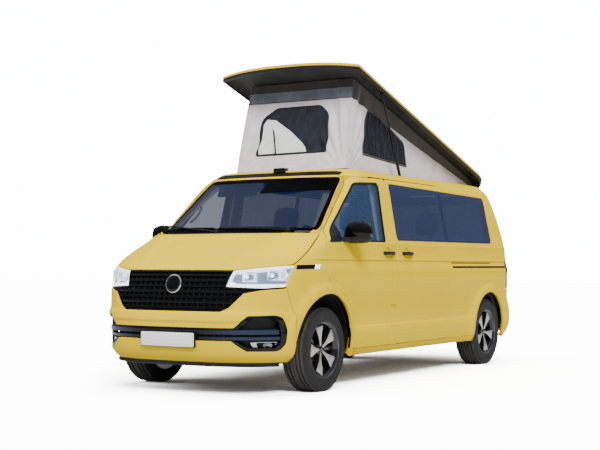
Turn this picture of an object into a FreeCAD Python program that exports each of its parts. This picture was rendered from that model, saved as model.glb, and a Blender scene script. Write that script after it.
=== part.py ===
"""Camper van with a pop-up roof that lifts at the front, as an assembly of separate pieces.

Frame: +Z up, the van faces -Y, its left side is +X, and the origin is on the ground
below the middle of its length. All sizes are millimetres and degrees.
"""
import FreeCAD, Part
import math
import os
import re

from FreeCAD import Placement, Rotation, Vector

# name, value, what it is
SIZES = [
    ("wheelbase", 3400, "between the axles"),
    ("front_overhang", 908, "front axle to the nose"),
    ("rear_overhang", 996, "rear axle to the tail"),
    ("body_width", 1904, "widest, without the mirrors"),
    ("wall", 70, "whole thickness of doors and side walls"),
    ("bonnet_wall", 30, "bonnet and grille, measured level"),
    ("glass", 14, "glass, measured level"),
    ("door_gap", 6, "seam around a piece that opens"),
    ("seat_gap", 0.3, "between pieces that are fixed to each other"),
    ("latch_gap", 0.4, "between a closed panel and its latch or hinge leaf"),
    ("track", 1628, "between the tyre centres of an axle"),
    ("wheel_radius", 344, "tyre's outside"),
    ("tyre_width", 234, "across the tyre"),
    ("rim_radius", 222, "bead seat"),
    ("rim_wall", 14, "rim barrel"),
    ("disc_radius", 160, "brake disc"),
    ("stub_radius", 25, "stub axle"),
    ("bearing_gap", 0.05, "running fit on the stub axle"),
    ("kingpin_inset", 44, "tyre centre to the steering axis"),
    ("front_arch_gap", 56, "tyre to the rear half of the front arch"),
    ("rear_arch_gap", 41, "tyre to the rear arch"),
    ("arch_liner", 8, "liner thickness"),
    ("floor_bottom", 340, "under the floor"),
    ("floor_top", 400, "top of the floor"),
    ("tow_bore", 11, "towing eye socket, radius"),
    ("tow_depth", 60, "towing eye socket"),
    ("hitch_width", 900, "tow bar bolts, side to side"),
    ("hitch_pitch", 120, "tow bar bolts, along"),
    ("hitch_hole", 6.5, "tow bar bolts, radius"),
    ("roof_edge", 1832, "where the roof frame starts"),
    ("roof_top", 1885, "top of the roof frame"),
    ("lid_length", 3245, "pop-up roof"),
    ("lid_width", 1490, "pop-up roof"),
    ("lid_depth", 100, "pop-up roof, rim to crown"),
    ("lid_pocket", 40, "pop-up roof, hollow above the rim"),
    ("lid_crown", 7500, "pop-up roof, radius across"),
    ("lid_wall", 25, "pop-up roof skin"),
    ("lid_tilt", 16.5, "raised angle"),
    ("lid_lift", 18, "closed rim above the roof"),
    ("strut_radius", 11, "gas strut barrel"),
    ("rod_radius", 5, "gas strut rod"),
    ("rod_grip", 41, "rod left inside the barrel when the roof is up"),
    ("strut_inset", 55, "gas strut in from the edge of the pop-up roof"),
    ("steering_wheel_radius", 185, "rim centre line"),
    ("steering_rake", 35, "column from the vertical"),
]

doc = FreeCAD.newDocument("camper_van")
sheet = doc.addObject("Spreadsheet::Sheet", "Sizes")
for row_number, (name, value, note) in enumerate(SIZES, start=1):
    sheet.set("A%d" % row_number, name)
    sheet.set("B%d" % row_number, str(value))
    sheet.set("C%d" % row_number, note)
    sheet.setAlias("B%d" % row_number, name)
doc.recompute()


class Sizes:
    """The sheet's cells as plain numbers."""

    def __getattr__(self, name):
        return float(getattr(sheet, name))


size = Sizes()
ALIASES = [name for name, _, _ in SIZES]


def bound(text):
    """An expression in which each alias reads its cell."""
    return re.sub(r"\b(%s)\b" % "|".join(ALIASES), r"Sizes.\1", text)


# ---------------------------------------------------------------- places
length = size.wheelbase + size.front_overhang + size.rear_overhang
nose = -length / 2
tail = length / 2
front_axle = nose + size.front_overhang
rear_axle = front_axle + size.wheelbase
half_body = size.body_width / 2
half_track = size.track / 2
kingpin = half_track - size.kingpin_inset
door_back = front_axle + 1278
slide_back = rear_axle - 966
belt = 1245
front_arch_radius = size.wheel_radius + size.front_arch_gap
rear_arch_radius = size.wheel_radius + size.rear_arch_gap
arch_top = size.wheel_radius + 58 + front_arch_radius
arch_back = front_axle - 8 + front_arch_radius
arch_front = front_axle - 52 - front_arch_radius
wing_back = arch_back + 16
firewall_front = arch_back + 22
firewall_back = firewall_front + 30
window_top = 1780
sill_top = 322
bumper_top = 560

# The body's outline at each height: how far its half width, nose and tail stand in from
# the widest, and the length and fullness of its front corner.
# height, tuck, nose_back, corner, fullness, tail_back
LEVELS = [
    (265, 47, 92, 1000, 3.2, 120),
    (330, 17, 37, 1000, 3.2, 60),
    (450, 2, 7, 1000, 3.1, 0),
    (560, 0, 0, 1000, 3.1, 0),
    (700, 0, 30, 1000, 3.2, 62),
    (860, 2, 72, 950, 3.4, 67),
    (985, 4, 127, 850, 3.4, 72),
    (1085, 8, 287, 620, 3.2, 77),
    (1245, 22, 642, 450, 2.7, 90),
    (1320, 37, 782, 480, 2.3, 100),
    (1500, 72, 1082, 350, 2.45, 150),
    (1790, 134, 1487, 240, 2.6, 300),
    (1850, 177, 1567, 240, 2.6, 340),
    (1885, 215, 1620, 240, 2.6, 380),
]
TAIL_CORNER = 520
TAIL_FULLNESS = 2.6
SIDE_TAPER = 12
FRONT_STEPS = 9
TAIL_STEPS = 7


def level_at(z):
    """The outline's values at any height, straight between the levels."""
    for low, high in zip(LEVELS, LEVELS[1:]):
        if low[0] <= z <= high[0]:
            share = (z - low[0]) / (high[0] - low[0])
            return [a + share * (b - a) for a, b in zip(low, high)]
    return LEVELS[0] if z < LEVELS[0][0] else LEVELS[-1]


def outline(z, inset):
    """Points of the body's left half at height z, from nose to tail."""
    _, tuck, nose_back, corner, fullness, tail_back = level_at(z)
    half = half_body - tuck - inset
    front = nose + nose_back + inset
    back = tail - tail_back - inset
    points = []
    for step in range(FRONT_STEPS + 1):
        turn = math.pi / 2 * step / FRONT_STEPS
        x = half * math.sin(turn) ** (2 / fullness)
        y = front + corner - corner * math.cos(turn) ** (2 / fullness)
        points.append(Vector(x, y, z))
    for step in range(TAIL_STEPS + 1):
        turn = math.pi / 2 * step / TAIL_STEPS
        x = (half - SIDE_TAPER) * math.cos(turn) ** (2 / TAIL_FULLNESS)
        y = back - TAIL_CORNER + TAIL_CORNER * math.sin(turn) ** (2 / TAIL_FULLNESS)
        points.append(Vector(x if step < TAIL_STEPS else 0, y, z))
    return points


def ring(z, inset):
    left = outline(z, inset)
    right = [Vector(-p.x, p.y, p.z) for p in reversed(left[1:-1])]
    return left + right


def body_solid(inset, low, high):
    """The whole body, shrunk level by inset, between two heights."""
    heights = [low] + [row[0] for row in LEVELS if low < row[0] < high] + [high]
    rings = [ring(z, inset) for z in heights]
    faces = []
    for lower, upper in zip(rings, rings[1:]):
        count = len(lower)
        for i in range(count):
            a, b = lower[i], lower[(i + 1) % count]
            c, d = upper[(i + 1) % count], upper[i]
            for corners in ((a, b, c), (a, c, d)):
                faces.append(Part.Face(Part.makePolygon(list(corners) + [corners[0]])))
    for cap in (rings[0], rings[-1]):
        faces.append(Part.Face(Part.makePolygon(cap + [cap[0]])))
    shell = Part.makeShell(faces)
    solid = Part.makeSolid(shell)
    if solid.Volume < 0:
        solid.reverse()
    return solid


# ---------------------------------------------------------------- helpers
def flat(points, across):
    """A face from (a, b) points. across "x" reads them as (y, z), "y" as (x, z), "z" as (x, y)."""
    place = {
        "x": lambda a, b: Vector(0, a, b),
        "y": lambda a, b: Vector(a, 0, b),
        "z": lambda a, b: Vector(a, b, 0),
    }[across]
    corners = [place(a, b) for a, b in points]
    return Part.Face(Part.makePolygon(corners + [corners[0]]))


DIRECTION = {"x": Vector(1, 0, 0), "y": Vector(0, 1, 0), "z": Vector(0, 0, 1)}


def push(face, across, low, high):
    """The face as a prism between two places along its own direction."""
    prism = face.copy()
    prism.translate(DIRECTION[across] * low)
    return prism.extrude(DIRECTION[across] * (high - low))


def grown(face, by):
    return face.makeOffset2D(by, 2)


def block(x0, x1, y0, y1, z0, z1):
    return Part.makeBox(x1 - x0, y1 - y0, z1 - z0, Vector(x0, y0, z0))


def rod(radius, start, end):
    start = Vector(*start)
    end = Vector(*end)
    return Part.makeCylinder(radius, (end - start).Length, start, end - start)


def mirrored(shape):
    return shape.mirror(Vector(0, 0, 0), Vector(1, 0, 0))


def both(shape):
    return Part.makeCompound([shape, mirrored(shape)])


def solids_of(shape, least=2.0e4):
    """The shape without crumbs: its solids above the least volume."""
    kept = [s for s in shape.Solids if s.Volume > least]
    return kept[0] if len(kept) == 1 else Part.makeCompound(kept)


pieces = []


def piece(label, shape, placement=None):
    """A sub-part whose shape comes from Part's own functions."""
    feature = doc.addObject("Part::Feature", label)
    feature.Label = label
    feature.Shape = shape
    feature.Placement = placement or Placement()
    pieces.append(feature)
    return feature


# ---------------------------------------------------------------- side and end profiles
SIDE = 1400
seam = size.door_gap


def arch_profile(centre_y, back_radius, front_radius, top, bottom=150):
    """An arch in side view: two quarter arcs that meet at the top, and straight legs."""
    back_z = top - back_radius
    front_z = top - front_radius
    peak = Vector(0, centre_y, top)
    back_end = Vector(0, centre_y + back_radius, back_z)
    front_end = Vector(0, centre_y - front_radius, front_z)
    slant = math.sqrt(0.5)
    back_mid = Vector(0, centre_y + back_radius * slant, back_z + back_radius * slant)
    front_mid = Vector(0, centre_y - front_radius * slant, front_z + front_radius * slant)
    foot_back = Vector(0, back_end.y, bottom)
    foot_front = Vector(0, front_end.y, bottom)
    edges = [
        Part.LineSegment(foot_back, back_end).toShape(),
        Part.Arc(back_end, back_mid, peak).toShape(),
        Part.Arc(peak, front_mid, front_end).toShape(),
        Part.LineSegment(front_end, foot_front).toShape(),
        Part.LineSegment(foot_front, foot_back).toShape(),
    ]
    return Part.Face(Part.Wire(edges))


front_arch = arch_profile(front_axle - 8, front_arch_radius, front_arch_radius + 44, arch_top)
rear_arch_top = size.wheel_radius + 30 + rear_arch_radius
bumper_front = rear_axle + rear_arch_radius + 19
rear_arch = arch_profile(rear_axle, rear_arch_radius, rear_arch_radius, rear_arch_top)

# front door in side view, from its lower front corner round
door_face = flat(
    [
        (arch_back + 26, sill_top),
        (arch_back + 26, arch_top - 282),
        (arch_back - 82, arch_top - 62),
        (front_axle + 60, arch_top + 78),
        (front_axle - 8, arch_top + 128),
        (front_axle - 8, 1208),
        (front_axle + 670, 1788),
        (front_axle + 724, 1812),
        (door_back, size.roof_edge - seam),
        (door_back, 676),
        (door_back - 134, 676),
        (door_back - 134, sill_top),
    ],
    "x",
)
door_window = flat(
    [
        (front_axle + 60, 1232),
        (front_axle + 684, 1762),
        (front_axle + 1128, 1783),
        (front_axle + 1086, 1240),
    ],
    "x",
)
slide_face = flat(
    [
        (door_back + seam, sill_top),
        (slide_back, sill_top),
        (slide_back, size.roof_edge - seam),
        (door_back + seam, size.roof_edge - seam),
    ],
    "x",
)
slide_window = flat(
    [
        (door_back + 34, belt + 15),
        (slide_back - 14, belt + 19),
        (slide_back - 18, window_top - 8),
        (door_back + 44, window_top + 6),
    ],
    "x",
)
quarter_window = flat(
    [
        (slide_back + 16, belt + 19),
        (rear_axle + 170, belt + 24),
        (rear_axle + 150, window_top - 24),
        (slide_back + 12, window_top - 9),
    ],
    "x",
)
flap_face = flat(
    [
        (door_back - 120, 495),
        (door_back - 12, 495),
        (door_back - 12, 655),
        (door_back - 120, 655),
    ],
    "x",
)
bonnet_top = 1292
bonnet_rear = front_axle + 44
bonnet_face = flat(
    [
        (nose - 60, 960),
        (arch_front + 31, 1044),
        (bonnet_rear, bonnet_top),
        (nose - 60, bonnet_top),
    ],
    "x",
)
lamp_bottom = 868
lamp_face = flat(
    [
        (nose - 60, lamp_bottom),
        (arch_front - 68, lamp_bottom),
        (arch_front + 36, 1050),
        (nose - 60, 1050),
    ],
    "x",
)
bumper_face = flat(
    [
        (nose - 60, 260),
        (arch_front + 6, 260),
        (arch_front + 6, 640),
        (arch_front - 68, lamp_bottom),
        (nose - 60, lamp_bottom),
    ],
    "x",
)
screen_low = 1323


def end_view(points):
    """A mirrored outline seen from the end. Each point is (distance in from the widest side,
    height), given upwards."""
    right = [(half_body - inward, z) for inward, z in points]
    return flat(right + [(-x, z) for x, z in reversed(right)], "y")


def corner_view(inner_low, inner_high, low, high):
    """An outline seen from the end, from a slanted inner edge out past the left side."""
    return flat([(half_body - inner_low, low), (SIDE, low), (SIDE, high),
                 (half_body - inner_high, high)], "y")


screen_face = end_view([(163, screen_low), (269, 1803)])
grille_face = end_view([(478, 671), (377, 830), (462, lamp_bottom), (434, 1010)])
lamp_end = corner_view(462, 424, lamp_bottom, 1060)
tail_lamp_end = corner_view(146, 146, 790, 1085)
gate_high = size.roof_edge - seam
gate_face = end_view([(160, bumper_top + seam), (160, 1100), (200, 1260), (312, gate_high)])
gate_window = end_view([(262, 1130), (382, 1740)])

# ---------------------------------------------------------------- body layers
base = LEVELS[0][0]
whole = body_solid(0, base, size.roof_top)
hollow = body_solid(size.wall, base - 1, size.roof_edge)
walls = body_solid(0, base, size.roof_edge).cut(hollow)
thin_hollow = body_solid(size.bonnet_wall, base - 1, size.roof_edge)
thin = body_solid(0, base, size.roof_edge).cut(thin_hollow)
panes = body_solid(0, 900, size.roof_edge).cut(body_solid(size.glass, 899, size.roof_edge + 1))
left = block(1, SIDE, nose - 100, tail + 100, 0, size.roof_edge)
front = nose - 100
back = tail + 100
fit = size.seat_gap


def side_prism(face, low=-SIDE, high=SIDE):
    return push(face, "x", low, high)


def front_prism(face):
    return push(face, "y", front, front_axle + 900)


def rear_prism(face):
    return push(face, "y", rear_axle + 330, back)


def door_opening(gap):
    """What the left front door fills, grown by a gap, clear of the windscreen's edge."""
    face = grown(door_face, gap) if gap else door_face
    screen_edge = front_prism(grown(screen_face, 30 - gap))
    return side_prism(face, half_body - 252 - gap, SIDE).cut(screen_edge)


door_cut = door_opening(seam)

# ---------------------------------------------------------------- side walls
def side_wall(slides):
    """The left-hand wall behind the front door: sill, pillars and quarter panel."""
    start = wing_back + fit
    inner = half_body - 352
    sill = block(inner, SIDE, start, back, base, sill_top + seam)
    region = sill.fuse(block(inner, SIDE, door_back - 140, back, base, size.roof_edge - fit))
    wall = walls.common(region)
    cutters = [
        door_cut,
        side_prism(grown(quarter_window, fit)),
        side_prism(rear_arch),
        rear_prism(grown(gate_face, seam)),
        rear_prism(grown(tail_lamp_end, fit)).common(
            block(0, SIDE, rear_axle + 475 - fit, back, base, SIDE)),
        block(0, SIDE, bumper_front - fit, back, base - 1, bumper_top + fit),
    ]
    if slides:
        cutters.append(side_prism(grown(slide_face, fit)))
    else:
        cutters.append(side_prism(grown(slide_window, fit)))
    for cutter in cutters:
        wall = wall.cut(cutter)
    return wall


left_wall = side_wall(True)
pocket = body_solid(-5, 400, 760).cut(body_solid(35, 399, 761))
left_wall = left_wall.cut(pocket.common(side_prism(grown(flap_face, seam), 0, SIDE)))
flap_leaf = block(
    half_body - 22, half_body - 8, door_back - 12 + size.latch_gap, door_back - 4, 540, 610
)
left_wall = left_wall.fuse(flap_leaf)
piece("body_side_left", solids_of(left_wall))
piece("body_side_right", solids_of(mirrored(side_wall(False))))

slide_door = walls.common(side_prism(slide_face, 1, SIDE)).cut(side_prism(grown(slide_window, fit)))
piece("sliding_door", solids_of(slide_door))
cabin_panes = [
    panes.common(side_prism(slide_window, 1, SIDE)),
    panes.common(side_prism(quarter_window, 1, SIDE)),
]
cabin_panes += [mirrored(pane) for pane in cabin_panes]
piece("cabin_glass", Part.makeCompound([s for pane in cabin_panes for s in pane.Solids]))

flap = body_solid(0, 400, 760).cut(body_solid(25, 399, 761)).common(side_prism(flap_face, 1, SIDE))
piece("fuel_flap", solids_of(flap))

# ---------------------------------------------------------------- front doors
door = walls.common(door_opening(0)).cut(side_prism(grown(door_window, fit)))
piece("front_door_left", solids_of(door))
piece("front_door_right", solids_of(mirrored(door)))
door_pane = panes.common(side_prism(door_window, 1, SIDE))
piece("door_glass_left", solids_of(door_pane))
piece("door_glass_right", solids_of(mirrored(door_pane)))

mirror_head = block(
    half_body + 16, half_body + 196, front_axle + 324, front_axle + 454, 1238, 1402
)
mirror_head = mirror_head.makeFillet(45, mirror_head.Edges)
mirror_arm = block(half_body - 90, half_body + 60, front_axle + 150, front_axle + 400, 1215, 1252)
mirror = mirror_head.fuse(mirror_arm).cut(body_solid(-fit, 1100, 1500))
piece("mirror_left", solids_of(mirror))
piece("mirror_right", solids_of(mirrored(mirror)))

# ---------------------------------------------------------------- front of the body
bonnet_prism = side_prism(grown(bonnet_face, seam))
lamp_prism = side_prism(grown(lamp_face, fit))
lamp_ends = front_prism(grown(lamp_end, fit))
lamp_cut = both(lamp_prism.common(lamp_ends))

wing_height = bonnet_top + 24
scuttle_half = half_body - 166
hinge_room = block(0, half_body - 122, front, front_axle + 60, bonnet_top, wing_height)
wing = walls.common(block(half_body - 452, SIDE, front, wing_back, base, wing_height))
for cutter in (
    block(0, scuttle_half, front, back, bonnet_top, SIDE),
    hinge_room,
    door_cut,
    bonnet_prism,
    side_prism(grown(bumper_face, fit)),
    lamp_cut,
    side_prism(front_arch),
    front_prism(grown(grille_face, fit)),
):
    wing = wing.cut(cutter)
leaves = [
    block(half_body - 77, half_body - 27, front_axle - 14, front_axle - 8 - size.latch_gap, z, z + 40)
    for z in (950, 1140)
]
wing = solids_of(wing)
wing = wing.fuse(leaves)
piece("front_wings", both(wing))

bonnet_layer = body_solid(0, 900, 1400).cut(body_solid(size.bonnet_wall - size.latch_gap, 899, 1401))
piece("bonnet", solids_of(bonnet_layer.common(side_prism(bonnet_face))))

grille = thin.common(front_prism(grille_face)).cut(bonnet_prism)
grille = grille.common(block(-SIDE, SIDE, front, front_axle - 200, base, 1100))
bonnet_post = block(-40, 40, nose + 95, nose + 240, 900, 1100)
bonnet_post = bonnet_post.common(body_solid(size.bonnet_wall, 880, 1100))
piece("grille", solids_of(grille.fuse(bonnet_post)))

lamps = walls.common(side_prism(lamp_face)).common(front_prism(lamp_end)).cut(bonnet_prism)
piece("headlamps", both(solids_of(lamps)))

bumper = walls.common(side_prism(bumper_face)).cut(front_prism(grown(grille_face, fit)))
bumper = bumper.cut(lamp_cut).cut(side_prism(front_arch))
intake_face = end_view([(352, 420), (352, 556)])
recess = body_solid(-5, base, 700).cut(body_solid(30, base - 1, 701))
bumper = bumper.cut(recess.common(front_prism(intake_face)))
tow_x = -250
tow_z = 346
bumper = bumper.cut(rod(size.tow_bore + 15, (tow_x, front, tow_z), (tow_x, nose + 300, tow_z)))
piece("front_bumper", solids_of(bumper))

# ---------------------------------------------------------------- windscreen and roof frame
piece("windscreen", solids_of(panes.common(front_prism(screen_face))))
wiper_layer = body_solid(-14, 1300, 1500).cut(body_solid(-0.5, 1299, 1501))
wiper_faces = [
    flat([(start, 1334), (start + 630, 1340), (start + 630, 1355), (start, 1355)], "y")
    for start in (-640, 40)
]
blades = [wiper_layer.common(push(face, "y", front, front_axle + 200)) for face in wiper_faces]
piece("wipers", Part.makeCompound([s for blade in blades for s in blade.Solids]))

scuttle_bottom = bonnet_top + seam
frame_region = block(-SIDE, SIDE, front, front_axle + 730, scuttle_bottom, size.roof_edge)
pillars = walls.common(frame_region)
pillars = pillars.cut(front_prism(grown(screen_face, fit)))
pillars = pillars.cut(door_cut).cut(mirrored(door_cut))
scuttle_skin = body_solid(-5, scuttle_bottom - 1, screen_low).cut(
    body_solid(28, scuttle_bottom - 2, screen_low + 1)
)
scuttle_space = block(-scuttle_half - 4, scuttle_half + 4, front, front_axle + 90, base, SIDE)
wing_top = block(scuttle_half, SIDE, front, wing_back, base, wing_height + fit)
for cutter in (scuttle_skin.common(scuttle_space), wing_top, mirrored(wing_top)):
    pillars = pillars.cut(cutter)
roof_ring = body_solid(0, size.roof_edge, size.roof_top)
hinge_x = 450
hinge_y = tail - 512
hinge_z = size.roof_top + 30
lid_back = hinge_y + 10
lid_front = lid_back - size.lid_length
half_lid = size.lid_width / 2
strut_x = half_lid - size.strut_inset
opening_half = half_lid - 205
opening = block(-opening_half, opening_half, lid_front + 335, hinge_y - 640,
                size.roof_edge - 1, size.roof_top + 1)
knuckle_radius = 10
roof_frame = roof_ring.cut(opening).fuse(pillars)
rim_z = size.roof_top + size.lid_lift
strut_foot_z = size.roof_top + 20
pin_y = lid_front + 700
pin_z = rim_z + 20
raise_lid = Placement(
    Vector(0, 0, 0), Rotation(Vector(1, 0, 0), -size.lid_tilt), Vector(0, hinge_y, hinge_z)
)
pin_shut = Vector(strut_x, pin_y, pin_z)
pin = raise_lid.multVec(pin_shut)
barrel_short = 32
rod_inside = 50


def strut_length():
    """The closed strut that keeps its grip on the rod when the roof is up."""
    spare = barrel_short + rod_inside + size.rod_grip
    low = abs(pin_z - strut_foot_z) + 1
    high = size.lid_length
    for _ in range(60):
        closed = (low + high) / 2
        foot_y = pin_y + math.sqrt(closed ** 2 - (pin_z - strut_foot_z) ** 2)
        opened = math.hypot(foot_y - pin.y, pin.z - strut_foot_z)
        if opened > 2 * closed - spare:
            low = closed
        else:
            high = closed
    return closed


closed_length = strut_length()
strut_foot_y = pin_y + math.sqrt(closed_length ** 2 - (pin_z - strut_foot_z) ** 2)
for side in (-1, 1):
    outer = side * hinge_x
    near = min(outer, outer - side * 34)
    arm = block(near, near + 34, hinge_y - 10, hinge_y + 10, size.roof_top, hinge_z)
    barrel = rod(knuckle_radius, (near, hinge_y, hinge_z), (near + 34, hinge_y, hinge_z))
    ear_x = side * (strut_x + size.strut_radius + 0.5)
    ear_low = min(ear_x, ear_x + side * 6)
    ear = block(
        ear_low, ear_low + 6, strut_foot_y - 18, strut_foot_y + 18, size.roof_top, strut_foot_z + 16
    )
    roof_frame = roof_frame.fuse([arm, barrel, ear])
piece("roof_frame", solids_of(roof_frame))

# ---------------------------------------------------------------- rear of the body
rear_region = block(-SIDE, SIDE, bumper_front, back, base, bumper_top)
striker = block(-40, 40, tail - 66, tail - 30, bumper_top, bumper_top + seam - size.latch_gap)
piece("rear_bumper", solids_of(walls.common(rear_region).fuse(striker)))
gate = walls.common(rear_prism(gate_face)).cut(rear_prism(grown(gate_window, fit)))
gate = gate.common(block(-SIDE, SIDE, rear_axle + 600, back, base, size.roof_edge))
piece("tailgate", solids_of(gate))
gate_pane = panes.common(rear_prism(gate_window))
gate_pane = gate_pane.common(block(-SIDE, SIDE, rear_axle + 600, back, base, size.roof_edge))
piece("tailgate_glass", solids_of(gate_pane))
rear_lamps = walls.common(rear_prism(tail_lamp_end))
rear_lamps = rear_lamps.common(block(0, SIDE, rear_axle + 475, back, base, SIDE))
piece("tail_lamps", both(solids_of(rear_lamps)))

# ---------------------------------------------------------------- floor and wheel wells
inner_fit = size.wall + fit
floor = body_solid(inner_fit, size.floor_bottom, size.floor_top)
floor = floor.cut(block(-SIDE, SIDE, front, firewall_front, 0, SIDE))
well = grown(rear_arch, size.arch_liner + fit)
floor = floor.cut(both(side_prism(well, 600 - fit, SIDE)))
floor = floor.cut(block(-SIDE, SIDE, rear_axle + 900, back, 0, SIDE))
shelf_z = arch_top + 58
hitch_y = rear_axle + 700
cabin = body_solid(inner_fit, size.floor_top, shelf_z + 30)
firewall = cabin.common(
    block(-SIDE, SIDE, firewall_front, firewall_back, size.floor_top, shelf_z + 30)
)
shelf = cabin.common(
    block(-SIDE, SIDE, front_axle - 106, firewall_front + 16, shelf_z, shelf_z + 30)
)
floor_pan = floor.fuse([firewall, shelf])
for side in (-1, 1):
    for along_y in (-1, 1):
        bolt = (side * size.hitch_width / 2, hitch_y + along_y * size.hitch_pitch / 2)
        floor_pan = floor_pan.cut(rod(size.hitch_hole, bolt + (300,), bolt + (450,)))
piece("floor_pan", solids_of(floor_pan))


def liner(arch, from_x):
    band = side_prism(grown(arch, size.arch_liner), from_x, SIDE).cut(side_prism(arch))
    band = band.cut(block(0, SIDE, front, back, 0, size.floor_bottom))
    return band.common(body_solid(inner_fit, base, 1000))


liners = []
for arch, from_x in ((front_arch, 480), (rear_arch, 600)):
    one = liner(arch, from_x)
    liners += [one, mirrored(one)]
piece("arch_liners", Part.makeCompound([s for one in liners for s in one.Solids]))

# ---------------------------------------------------------------- engine, axles and underside
engine = doc.addObject("Part::Box", "engine_block")
engine.setExpression("Length", bound("track - 988"))
engine.Width = 520
engine.Height = 520
engine.Placement = Placement(Vector(-320, front_axle - 600, 320), Rotation())
pieces.append(engine)

subframe_front = front_axle - 620
rail_back = firewall_front + 86
rails = [
    block(240, 320, subframe_front, rail_back, 240, 320),
    block(-320, -240, subframe_front, rail_back, 240, 320),
    block(-320, 320, subframe_front, subframe_front + 80, 240, 320),
    block(-320, 320, front_axle + 60, front_axle + 140, 240, 320),
    block(240, 320, rail_back - 70, rail_back, 320, size.floor_bottom - fit),
    block(-320, -240, rail_back - 70, rail_back, 320, size.floor_bottom - fit),
]
ball_top = 244
arm = block(320, kingpin - 44, front_axle - 32, front_axle + 32, 212, ball_top)
arm = arm.fuse([
    block(300, 330, front_axle - 90, front_axle + 90, 212, 250),
    block(kingpin - 45, kingpin + 3, front_axle - 11, front_axle + 11, 212, ball_top),
])
tow_front = subframe_front - 116
tow_boss = rod(size.tow_bore + 11, (tow_x, tow_front, tow_z), (tow_x, subframe_front - 20, tow_z))
tow_post = block(tow_x - 40, tow_x + 40, subframe_front - 40, subframe_front, 240, tow_z + 26)
subframe = rails[0].fuse(rails[1:] + [arm, mirrored(arm), tow_boss, tow_post])
tow_bore = rod(size.tow_bore, (tow_x, tow_front - 1, tow_z),
               (tow_x, tow_front + size.tow_depth, tow_z))
subframe = subframe.cut(tow_bore)
piece("front_subframe", solids_of(subframe))

carrier = block(630, 685, rear_axle - 480, rear_axle + 60, 250, 330)
hub_carrier = rod(60, (684, rear_axle, size.wheel_radius), (785, rear_axle, size.wheel_radius))
hub_block = block(630, 686, rear_axle - 60, rear_axle + 60, 330, 400)
stub = rod(
    size.stub_radius, (700, rear_axle, size.wheel_radius), (860, rear_axle, size.wheel_radius)
)
pad = block(630, 685, rear_axle - 480, rear_axle - 410, 330, size.floor_bottom - fit)
side_arm = carrier.fuse([hub_carrier, hub_block, stub, pad])
beam = block(-640, 640, rear_axle - 440, rear_axle - 380, 250, 330)
piece("rear_axle", solids_of(beam.fuse([side_arm, mirrored(side_arm)])))

pipe_z = 218
exhaust = rod(28, (-420, front_axle + 560, pipe_z), (-420, rear_axle + 120, pipe_z))
exhaust = exhaust.fuse([
    rod(85, (-420, rear_axle + 100, 250), (-420, rear_axle + 580, 250)),
    rod(28, (-420, rear_axle + 560, 225), (-420, rear_axle + 890, 225)),
    block(-428, -412, front_axle + 700, front_axle + 740, pipe_z, size.floor_bottom - fit),
    block(-428, -412, rear_axle - 900, rear_axle - 860, pipe_z, size.floor_bottom - fit),
    block(-428, -412, rear_axle + 300, rear_axle + 340, 300, size.floor_bottom - fit),
])
piece("exhaust", solids_of(exhaust))

tank = doc.addObject("Part::Box", "fuel_tank")
tank.Length = 640
tank.Width = 900
tank.setExpression("Height", bound("floor_bottom - seat_gap - 160"))
tank.Placement = Placement(Vector(-40, front_axle + 1250, 160), Rotation())
pieces.append(tank)

# ---------------------------------------------------------------- knuckles and wheels
HUB = [(0, 74), (72, 74), (72, 2), ("disc_radius", 2), ("disc_radius", -24), ("bore", -24),
       ("bore", 48), (0, 48)]
BARREL = [("inside", -112), ("rim_radius", -112), ("rim_radius", 112), ("inside", 112)]
NAMED = {
    "disc_radius": size.disc_radius,
    "bore": size.stub_radius + size.bearing_gap,
    "inside": size.rim_radius - size.rim_wall,
    "rim_radius": size.rim_radius,
}


def new_sketch(body, name, role, points):
    """A closed sketch of straight lines on one of the body's own planes."""
    planes = {item.Role: item for item in body.Origin.OriginFeatures}
    sketch = body.newObject("Sketcher::SketchObject", name)
    sketch.AttachmentSupport = (planes[role], "")
    sketch.MapMode = "FlatFace"
    corners = [Vector(a, b, 0) for a, b in points]
    for start, end in zip(corners, corners[1:] + corners[:1]):
        sketch.addGeometry(Part.LineSegment(start, end), False)
    return sketch


def turned(body, name, sketch):
    """The sketch turned a full circle about its own vertical axis."""
    feature = body.newObject("PartDesign::Revolution", name)
    feature.Profile = sketch
    feature.ReferenceAxis = (sketch, ["V_Axis"])
    feature.Angle = 360
    return feature


def wheel_place(side, axle_y):
    """Local +Y becomes the wheel's outward direction."""
    centre = Vector(side * half_track, axle_y, size.wheel_radius)
    return Placement(centre, Rotation(Vector(0, 0, 1), -90 * side))


def make_rim(label, side, axle_y):
    """Hub and brake disc, five spokes and the barrel."""
    body = doc.addObject("PartDesign::Body", "rim_" + label)
    body.Label = "rim_" + label
    hub_points = [(NAMED.get(r, r), y) for r, y in HUB]
    turned(body, "hub_" + label, new_sketch(body, "hub_outline_" + label, "XY_Plane", hub_points))
    reach = size.rim_radius - size.rim_wall / 2
    spoke_points = [(-24, 60), (24, 60), (50, reach), (-50, reach)]
    spoke_sketch = new_sketch(body, "spoke_outline_" + label, "XZ_Plane", spoke_points)
    spoke_sketch.AttachmentOffset = Placement(Vector(0, 0, -48), Rotation())
    spoke = body.newObject("PartDesign::Pad", "spoke_" + label)
    spoke.Profile = spoke_sketch
    spoke.Length = 26
    spoke.Reversed = True
    doc.recompute()
    pattern = body.newObject("PartDesign::PolarPattern", "spokes_" + label)
    pattern.Originals = [spoke]
    planes = {item.Role: item for item in body.Origin.OriginFeatures}
    pattern.Axis = (planes["Y_Axis"], [""])
    pattern.Angle = 360
    pattern.Occurrences = 5
    body.Tip = pattern
    doc.recompute()
    barrel_points = [(NAMED.get(r, r), y) for r, y in BARREL]
    barrel = new_sketch(body, "barrel_outline_" + label, "XY_Plane", barrel_points)
    body.Tip = turned(body, "barrel_" + label, barrel)
    body.Placement = wheel_place(side, axle_y)
    pieces.append(body)


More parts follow.
